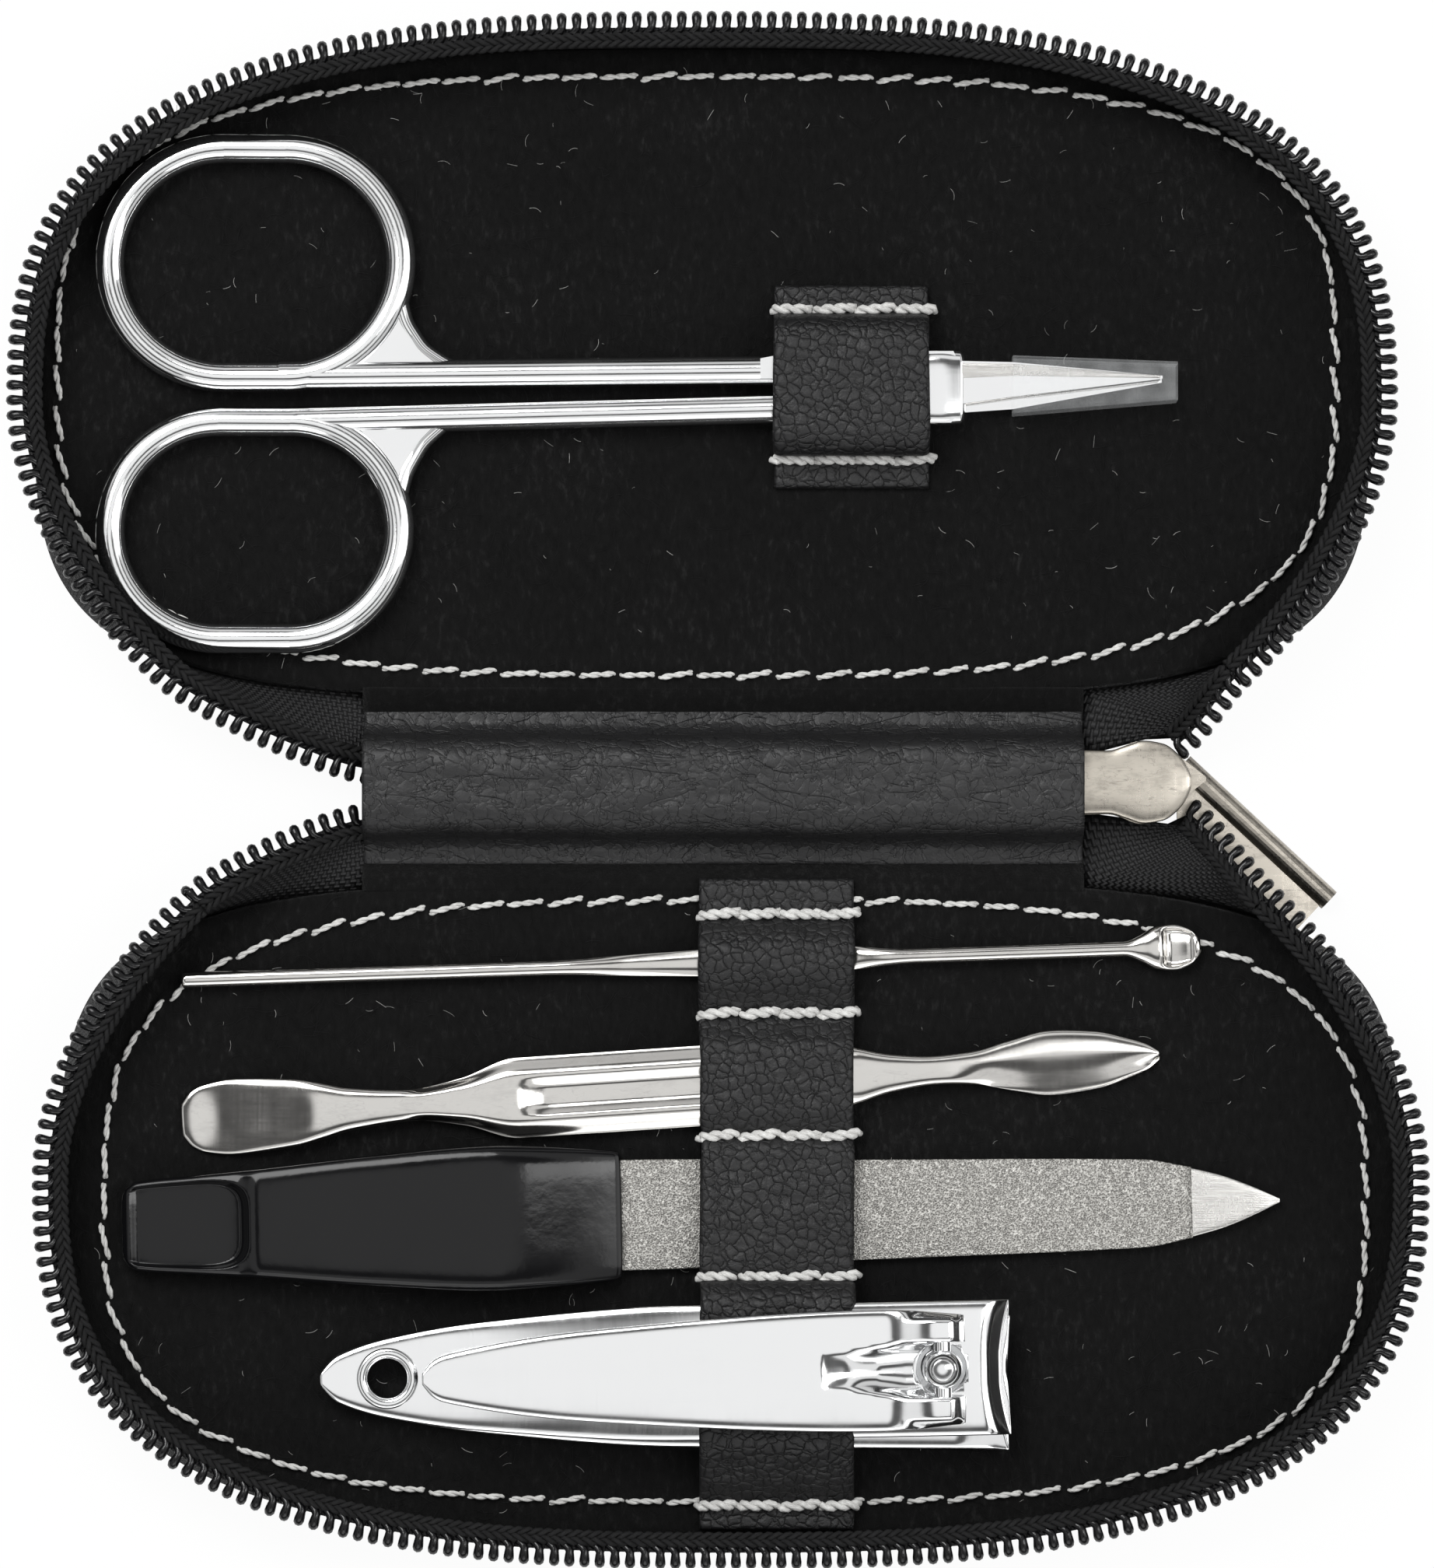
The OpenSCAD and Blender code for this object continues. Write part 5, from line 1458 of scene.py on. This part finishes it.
def plate_stations(widths, heights, count):
    """Stations of a plate whose half width and whose lowest and highest change at their own places."""
    places = np.linspace(widths[0][0], widths[-1][0], count)
    return [(x, *w, *h) for x, w, h in zip(places, eased(widths, places), eased(heights, places))]


# Nail clipper along its own X, in millimetres: half width, tail hole, post and height of its pin
JAW_HALF = 5.4
TAIL_HOLE = CLIPPER["back"] + 5.4
POST = CLIPPER["front"] - 5.5
PIN_HEIGHT = 6.45
PIN_REACH = 3.68
LEVER_END = POST + 1.75
LEVER_HALF = JAW_HALF - 0.55
NOTCH = 2.2
LOWER_JAW_LEAN = -1.5


def bite(sections):
    """Cutting edge drawn in to a hollow curve."""
    x, side = sections[..., 0], sections[..., 1] / JAW_HALF
    front = CLIPPER["front"]
    sections[..., 0] -= 0.85 * (1 - side ** 2) * smooth_step(x, front - 4.5, front)
    return sections


def turned_about(sections, x, degrees):
    """Sections turned about an upright axis on X."""
    angle = math.radians(degrees)
    away = sections[..., 0] - x
    moved = sections.copy()
    moved[..., 0] = x + away * math.cos(angle) - sections[..., 1] * math.sin(angle)
    moved[..., 1] = away * math.sin(angle) + sections[..., 1] * math.cos(angle)
    return moved


def add_jaw(name, heights, body, node, radius, lean):
    """One jaw with its holes for the tail rivet and the post."""
    tail, front = CLIPPER["back"], CLIPPER["front"]
    widths = [(tail, 0.5), (tail + 0.5, 1.15), (tail + 1.4, 1.9), (TAIL_HOLE, JAW_HALF - 2.2),
              (tail + 13.2, JAW_HALF - 1), (tail + 29, JAW_HALF), (front, JAW_HALF)]
    sections = loft_sections(plate_stations(widths, heights, 90), 190, 4.6, 96, bite, ends=0.04)
    sections = turned_about(sections, TAIL_HOLE, lean)
    hole, post = laid(np.array([[TAIL_HOLE, 0.0, 0.0], [POST, 0.0, 0.0]]), CLIPPER)
    piece = turned_out(section_piece(name, laid(sections, CLIPPER)))
    cut_through(piece, circle(hole, radius), 1.0, 12.0)
    cut_through(piece, circle(post, 2.05), 1.0, 14.0)
    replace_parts(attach(dress(piece, "chrome"), body), node)


def lever_shape(sections):
    """Teardrop hollow behind the post, raised arms beside it, and their rounded outer edges."""
    x, side = sections[..., 0], np.abs(sections[..., 1])
    share = top_share(sections)
    open_end, point = POST - 3.0, POST - 9.6
    length = np.clip((x - point) / (open_end - point), 0, 1)
    width = 0.05 + 2.4 * length ** 0.55
    hollow = (1 - smooth_step(side / width, 0.35, 1.0)) * np.clip(width / 2.0, 0, 1)
    sections[..., 2] -= hollow * 1.2 * smooth_step(x, POST + 1.5, POST)
    arms = smooth_step(x, POST - 4.6, POST - 0.4) * smooth_step(side, 1.6, 2.4)
    sections[..., 2] += share * arms * 0.75 * smooth_step(x, LEVER_END, LEVER_END - 1.2)
    edge = smooth_step(side, LEVER_HALF - 1.1, LEVER_HALF) * smooth_step(x, POST - 3.4, POST - 2.2)
    sections[..., 2] -= share * 0.7 * edge
    return sections


def build_lever():
    """The lever: one pressed plate with a notch round the post."""
    start = CLIPPER["back"] + 8.4
    low = PIN_HEIGHT - 0.6
    high = low + 0.9
    widths = [(start, 0.5), (start + 0.5, 1.2), (start + 1.8, 1.9), (start + 14.1, LEVER_HALF - 1.15),
              (POST - 5, LEVER_HALF), (POST - 2.6, LEVER_HALF - 0.1), (LEVER_END, LEVER_HALF - 0.5)]
    heights = [(start, low, high), (POST - 5, low, high), (LEVER_END, low, high + 0.05)]
    sections = loft_sections(plate_stations(widths, heights, 60), 260, 4.6, 150, lever_shape, ends=0.1)
    plate = turned_out(section_piece("clipper_lever_plate", laid(sections, CLIPPER)))
    turns = np.linspace(math.pi / 2, 1.5 * math.pi, 25)
    notch = np.column_stack([POST - 0.1 + NOTCH * np.cos(turns), NOTCH * np.sin(turns), np.zeros(25)])
    notch = np.concatenate([[(LEVER_END + 3, NOTCH, 0)], notch, [(LEVER_END + 3, -NOTCH, 0)]])
    cut_through(plate, laid(notch, CLIPPER)[:, :2], 2.0, 14.0)
    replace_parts(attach(dress(plate, "chrome"), "clipper_lever"), "clipper_lever")


def build_clipper():
    """Two sprung jaws, tail rivet, post with its pin, and the lever that lies on top."""
    tail, front = CLIPPER["back"], CLIPPER["front"]
    heights = [(tail, 0, 1.0), (front - 4.6, 0, 1.0), (front - 2, 0.35, 1.45), (front, 1.55, 1.95)]
    add_jaw("clipper_jaw_low", heights, "clipper", "clipper_lower_jaw", 2.05, LOWER_JAW_LEAN)
    heights = [(tail, 1.05, 2.05), (tail + 8.4, 1.05, 2.05), (front - 14, 3.6, 4.6), (front - 2.0, 3.6, 4.6),
               (front - 1.4, 3.6, 4.45), (front, 3.0, 3.1)]
    add_jaw("clipper_jaw_top", heights, "clipper_jaw", "clipper_upper_jaw", 2.15, 0.0)
    profile = [(1.6, 0.05), (2.0, 0.05), (2.0, 2.32), (2.4, 2.34), (2.45, 2.45), (2.3, 2.55),
               (1.85, 2.55), (1.62, 2.42)]
    sections = lathe_sections(profile + profile[:1], TAIL_HOLE)
    rivet = section_piece("clipper_rivet", laid(sections, CLIPPER), caps=False)
    add_piece(rivet, "chrome", "clipper", "clipper_tail_rivet")
    foot = [(0.05, 0.02), (2.1, 0.02), (2.2, 0.12), (2.2, 0.4), (2.1, 0.5), (1.6, 0.52)]
    head = [(1.6, 0.1), (1.58, 0.45), (1.45, 0.85), (1.22, 1.15), (1.0, 1.32), (0.9, 1.38), (0.86, 1.5),
            (0.8, 1.53), (0.05, 1.53)]
    profile = foot + [(radius, PIN_HEIGHT + above) for radius, above in head]
    sections = lathe_sections(profile, POST)
    add_tool("clipper_post_round", laid(sections, CLIPPER), "chrome", "clipper_post", "clipper_post")
    steps = 14
    line = np.column_stack([np.full(steps, POST), np.linspace(-PIN_REACH, PIN_REACH, steps),
                            np.full(steps, PIN_HEIGHT)])
    radii = np.full(steps, 0.7)
    radii[[0, -1]] = 0.5
    add_piece(tubes_piece("clipper_pin", [(laid(line, CLIPPER), radii, False)], 24), "chrome", "clipper_post")
    build_lever()


class ToolSettings(bpy.types.PropertyGroup):
    edge_round: millimetres("Edge rounding", "Radius of worn edges", 0.12, 0.02, 0.4)
    pressed_round: millimetres("Pressed rounding", "Radius of pressed sheet edges", 0.26, 0.02, 0.4)


# The frame's own pieces that stay in view: their finish, and the setting that rounds their edges
NODE_FINISHES = {
    "scissor_upper_half": ("chrome", "edge_round"),
    "scissor_lower_half": ("chrome", "edge_round"),
    "scissor_pivot_screw": ("chrome", "edge_round"),
    "scissor_tip_sleeve": ("clear_plastic", None),
    "tweezer_lower_arm": ("worn_nickel", "pressed_round"),
    "zip_slider": ("worn_nickel", "pressed_round"),
    "zip_puller": ("worn_nickel", "pressed_round"),
    "lid_board": ("card", None),
    "base_board": ("card", None),
}


def wear_edges(piece, radius):
    """Rounds the sharp edges of a piece and evens its shading."""
    bevel = piece.modifiers.new("worn_edges", "BEVEL")
    bevel.width = radius
    bevel.segments = 3
    bevel.limit_method = "ANGLE"
    bevel.angle_limit = math.radians(35)
    piece.data.shade_smooth()
    piece.modifiers.new("even_shading", "WEIGHTED_NORMAL")


class MANICURE_OT_tools(bpy.types.Operator):
    """Builds the tools and gives the frame's own pieces their finishes and worn edges"""
    bl_idname = "manicure.build_tools"
    bl_label = "Build tools"

    def execute(self, context):
        settings = context.scene.manicure_tools
        build_pusher()
        build_ear_pick()
        build_file()
        build_tweezers()
        build_scissor_webs()
        build_scissor_blade()
        build_clipper()
        for name, (finish, rounding) in NODE_FINISHES.items():
            piece = dress(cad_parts[name], finish)
            if rounding:
                wear_edges(piece, getattr(settings, rounding) * MM)
        return {"FINISHED"}


class StageSettings(bpy.types.PropertyGroup):
    key_power: watts("Key light", "Power of the main soft light", 0.45)
    fill_power: watts("Fill light", "Power of the fill lights", 0.16)
    strip_power: watts("Strip light", "Power of the narrow lamp", 0.38)
    world_light: FloatProperty(name="World", description="Brightness of the surrounding light",
                               default=0.85, min=0, max=5)


# The photograph: height of its frame and the point it aims at, in millimetres, its tilt in degrees,
# and the camera's distance in metres
PHOTO_HEIGHT = 126.4
PHOTO_AIM = (-0.5, 0.3, 5.0)
PHOTO_TILT = 2.5
CAMERA_AWAY = 0.62
SENSOR_WIDTH = 36.0

# The table, in metres, and how much of its glow the camera sees
TABLE_REACH = 3.0
TABLE_TOP = -0.0001
TABLE_GLOW = 0.95

# Greys of the surrounding light from straight below (0) to straight above (1): dark bands give the
# polished metal its contrast
WORLD_TONES = [(0.5, 0.03), (0.64, 0.05), (0.67, 0.7), (0.78, 0.8), (0.81, 0.06), (0.85, 0.07),
               (0.88, 0.95), (0.945, 1.0), (0.955, 0.1), (0.983, 0.1), (0.99, 1.1), (1.0, 1.1)]


def build_table():
    """The plain pale table top."""
    mesh = bpy.data.meshes.new("table_top")
    corners = [(x * TABLE_REACH, y * TABLE_REACH, TABLE_TOP) for x, y in ((-1, -1), (1, -1), (1, 1), (-1, 1))]
    mesh.from_pydata(corners, [], [(0, 1, 2, 3)])
    table = bpy.data.objects.new("table_top", mesh)
    bpy.context.scene.collection.objects.link(table)
    made, tree, shader = new_material("table_top", (0.86, 0.86, 0.86), 0.75)
    specks = noise_value(tree, object_place(tree), 300, 3)
    tree.links.new(ramp(tree, specks, [(0.3, 0.84), (0.7, 0.88)]), shader.inputs["Base Color"])
    glow = tree.nodes.new("ShaderNodeEmission")
    glow.inputs["Color"].default_value = (1, 1, 1, 1)
    glow.inputs["Strength"].default_value = 1.0
    blend = tree.nodes.new("ShaderNodeMixShader")
    eye = tree.nodes.new("ShaderNodeLightPath").outputs["Is Camera Ray"]
    tree.links.new(product(tree, eye, TABLE_GLOW), blend.inputs[0])
    tree.links.new(shader.outputs[0], blend.inputs[1])
    tree.links.new(glow.outputs[0], blend.inputs[2])
    tree.links.new(blend.outputs[0], tree.nodes["Material Output"].inputs["Surface"])
    mesh.materials.append(made)


def build_world(strength):
    """Soft surrounding light with dark bands, white where the camera sees it."""
    world = bpy.data.worlds.new("studio")
    bpy.context.scene.world = world
    world.use_nodes = True
    tree = world.node_tree
    back = tree.nodes["Background"]
    back.inputs["Strength"].default_value = strength
    seen = tree.nodes.new("ShaderNodeLightPath").outputs["Is Camera Ray"]
    sky = tree.nodes.new("ShaderNodeTexCoord").outputs["Generated"]
    parts = tree.nodes.new("ShaderNodeSeparateXYZ")
    tree.links.new(sky, parts.inputs[0])
    rise = total(tree, product(tree, parts.outputs[2], 0.5), 0.5)
    mix = tree.nodes.new("ShaderNodeMix")
    mix.data_type = "RGBA"
    tree.links.new(seen, mix.inputs["Factor"])
    tree.links.new(ramp(tree, rise, WORLD_TONES), mix.inputs[6])
    mix.inputs[7].default_value = (1, 1, 1, 1)
    tree.links.new(mix.outputs[2], back.inputs["Color"])


def soft_light(name, place, size, power):
    """A rectangular lamp that points at the middle of the case."""
    data = bpy.data.lights.new(name, "AREA")
    data.shape = "RECTANGLE"
    data.size, data.size_y = size
    data.energy = power
    lamp = bpy.data.objects.new(name, data)
    lamp.location = place
    lamp.rotation_mode = "QUATERNION"
    lamp.rotation_quaternion = (-Vector(place)).to_track_quat("-Z", "Y")
    bpy.context.scene.collection.objects.link(lamp)


def build_camera():
    """The camera above the case, at the photograph's angle."""
    data = bpy.data.cameras.new("camera")
    data.sensor_width = SENSOR_WIDTH
    data.lens = SENSOR_WIDTH * CAMERA_AWAY / (PHOTO_HEIGHT * MM)
    data.clip_start, data.clip_end = 0.01, 20
    tilt = math.radians(PHOTO_TILT)
    back_way = Vector((0, -math.sin(tilt), math.cos(tilt)))
    camera = bpy.data.objects.new("camera", data)
    camera.location = Vector(PHOTO_AIM) * MM + back_way * CAMERA_AWAY
    camera.rotation_mode = "QUATERNION"
    camera.rotation_quaternion = (-back_way).to_track_quat("-Z", "Y")
    bpy.context.scene.collection.objects.link(camera)
    bpy.context.scene.camera = camera


class MANICURE_OT_stage(bpy.types.Operator):
    """Makes the pale table, the soft studio light and the camera above the case"""
    bl_idname = "manicure.build_stage"
    bl_label = "Build stage"

    def execute(self, context):
        settings = context.scene.manicure_stage
        build_table()
        build_world(settings.world_light)
        soft_light("key", (-0.22, 0.3, 0.5), (0.35, 0.35), settings.key_power * 6)
        soft_light("strip", (0.235, 0.02, 0.44), (0.08, 0.3), settings.strip_power)
        soft_light("fill_right", (0.45, 0.05, 0.35), (0.3, 0.5), settings.fill_power * 4)
        soft_light("fill_front", (0.0, -0.45, 0.35), (0.5, 0.25), settings.fill_power * 4)
        build_camera()
        context.scene.view_settings.view_transform = "Standard"
        return {"FINISHED"}


class MANICURE_PT_panel(bpy.types.Panel):
    """Settings and builders of the manicure set case"""
    bl_label = "Manicure set case"
    bl_idname = "MANICURE_PT_panel"
    bl_space_type = "VIEW_3D"
    bl_region_type = "UI"
    bl_category = "Manicure"

    def draw(self, context):
        for settings, operators in GROUPS:
            box = self.layout.box()
            values = getattr(context.scene, settings)
            for key in values.__annotations__:
                box.prop(values, key)
            for operator in operators:
                box.operator(operator)


GROUPS = (
    ("manicure_zip", ("manicure.build_zip",)),
    ("manicure_panels", ("manicure.build_panels",)),
    ("manicure_spine", ("manicure.build_spine",)),
    ("manicure_straps", ("manicure.build_straps",)),
    ("manicure_tools", ("manicure.build_tools",)),
    ("manicure_stage", ("manicure.build_stage",)),
)
SETTINGS = {
    "manicure_zip": ZipSettings,
    "manicure_panels": PanelSettings,
    "manicure_spine": SpineSettings,
    "manicure_straps": StrapSettings,
    "manicure_tools": ToolSettings,
    "manicure_stage": StageSettings,
}
CLASSES = (
    *SETTINGS.values(),
    MANICURE_OT_zip,
    MANICURE_OT_panels,
    MANICURE_OT_spine,
    MANICURE_OT_straps,
    MANICURE_OT_tools,
    MANICURE_OT_stage,
    MANICURE_PT_panel,
)


def register():
    """Registers the settings, the operators and the panel."""
    for item in CLASSES:
        bpy.utils.register_class(item)
    for name, group in SETTINGS.items():
        setattr(bpy.types.Scene, name, PointerProperty(type=group))


def unregister():
    """Removes what register added."""
    for name in SETTINGS:
        delattr(bpy.types.Scene, name)
    for item in reversed(CLASSES):
        bpy.utils.unregister_class(item)


def main():
    """Registers the settings and runs every builder."""
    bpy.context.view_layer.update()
    register()
    for _, operators in GROUPS:
        for operator in operators:
            group, name = operator.split(".")
            getattr(getattr(bpy.ops, group), name)()
    bpy.context.view_layer.update()


if __name__ == "__main__":
    main()
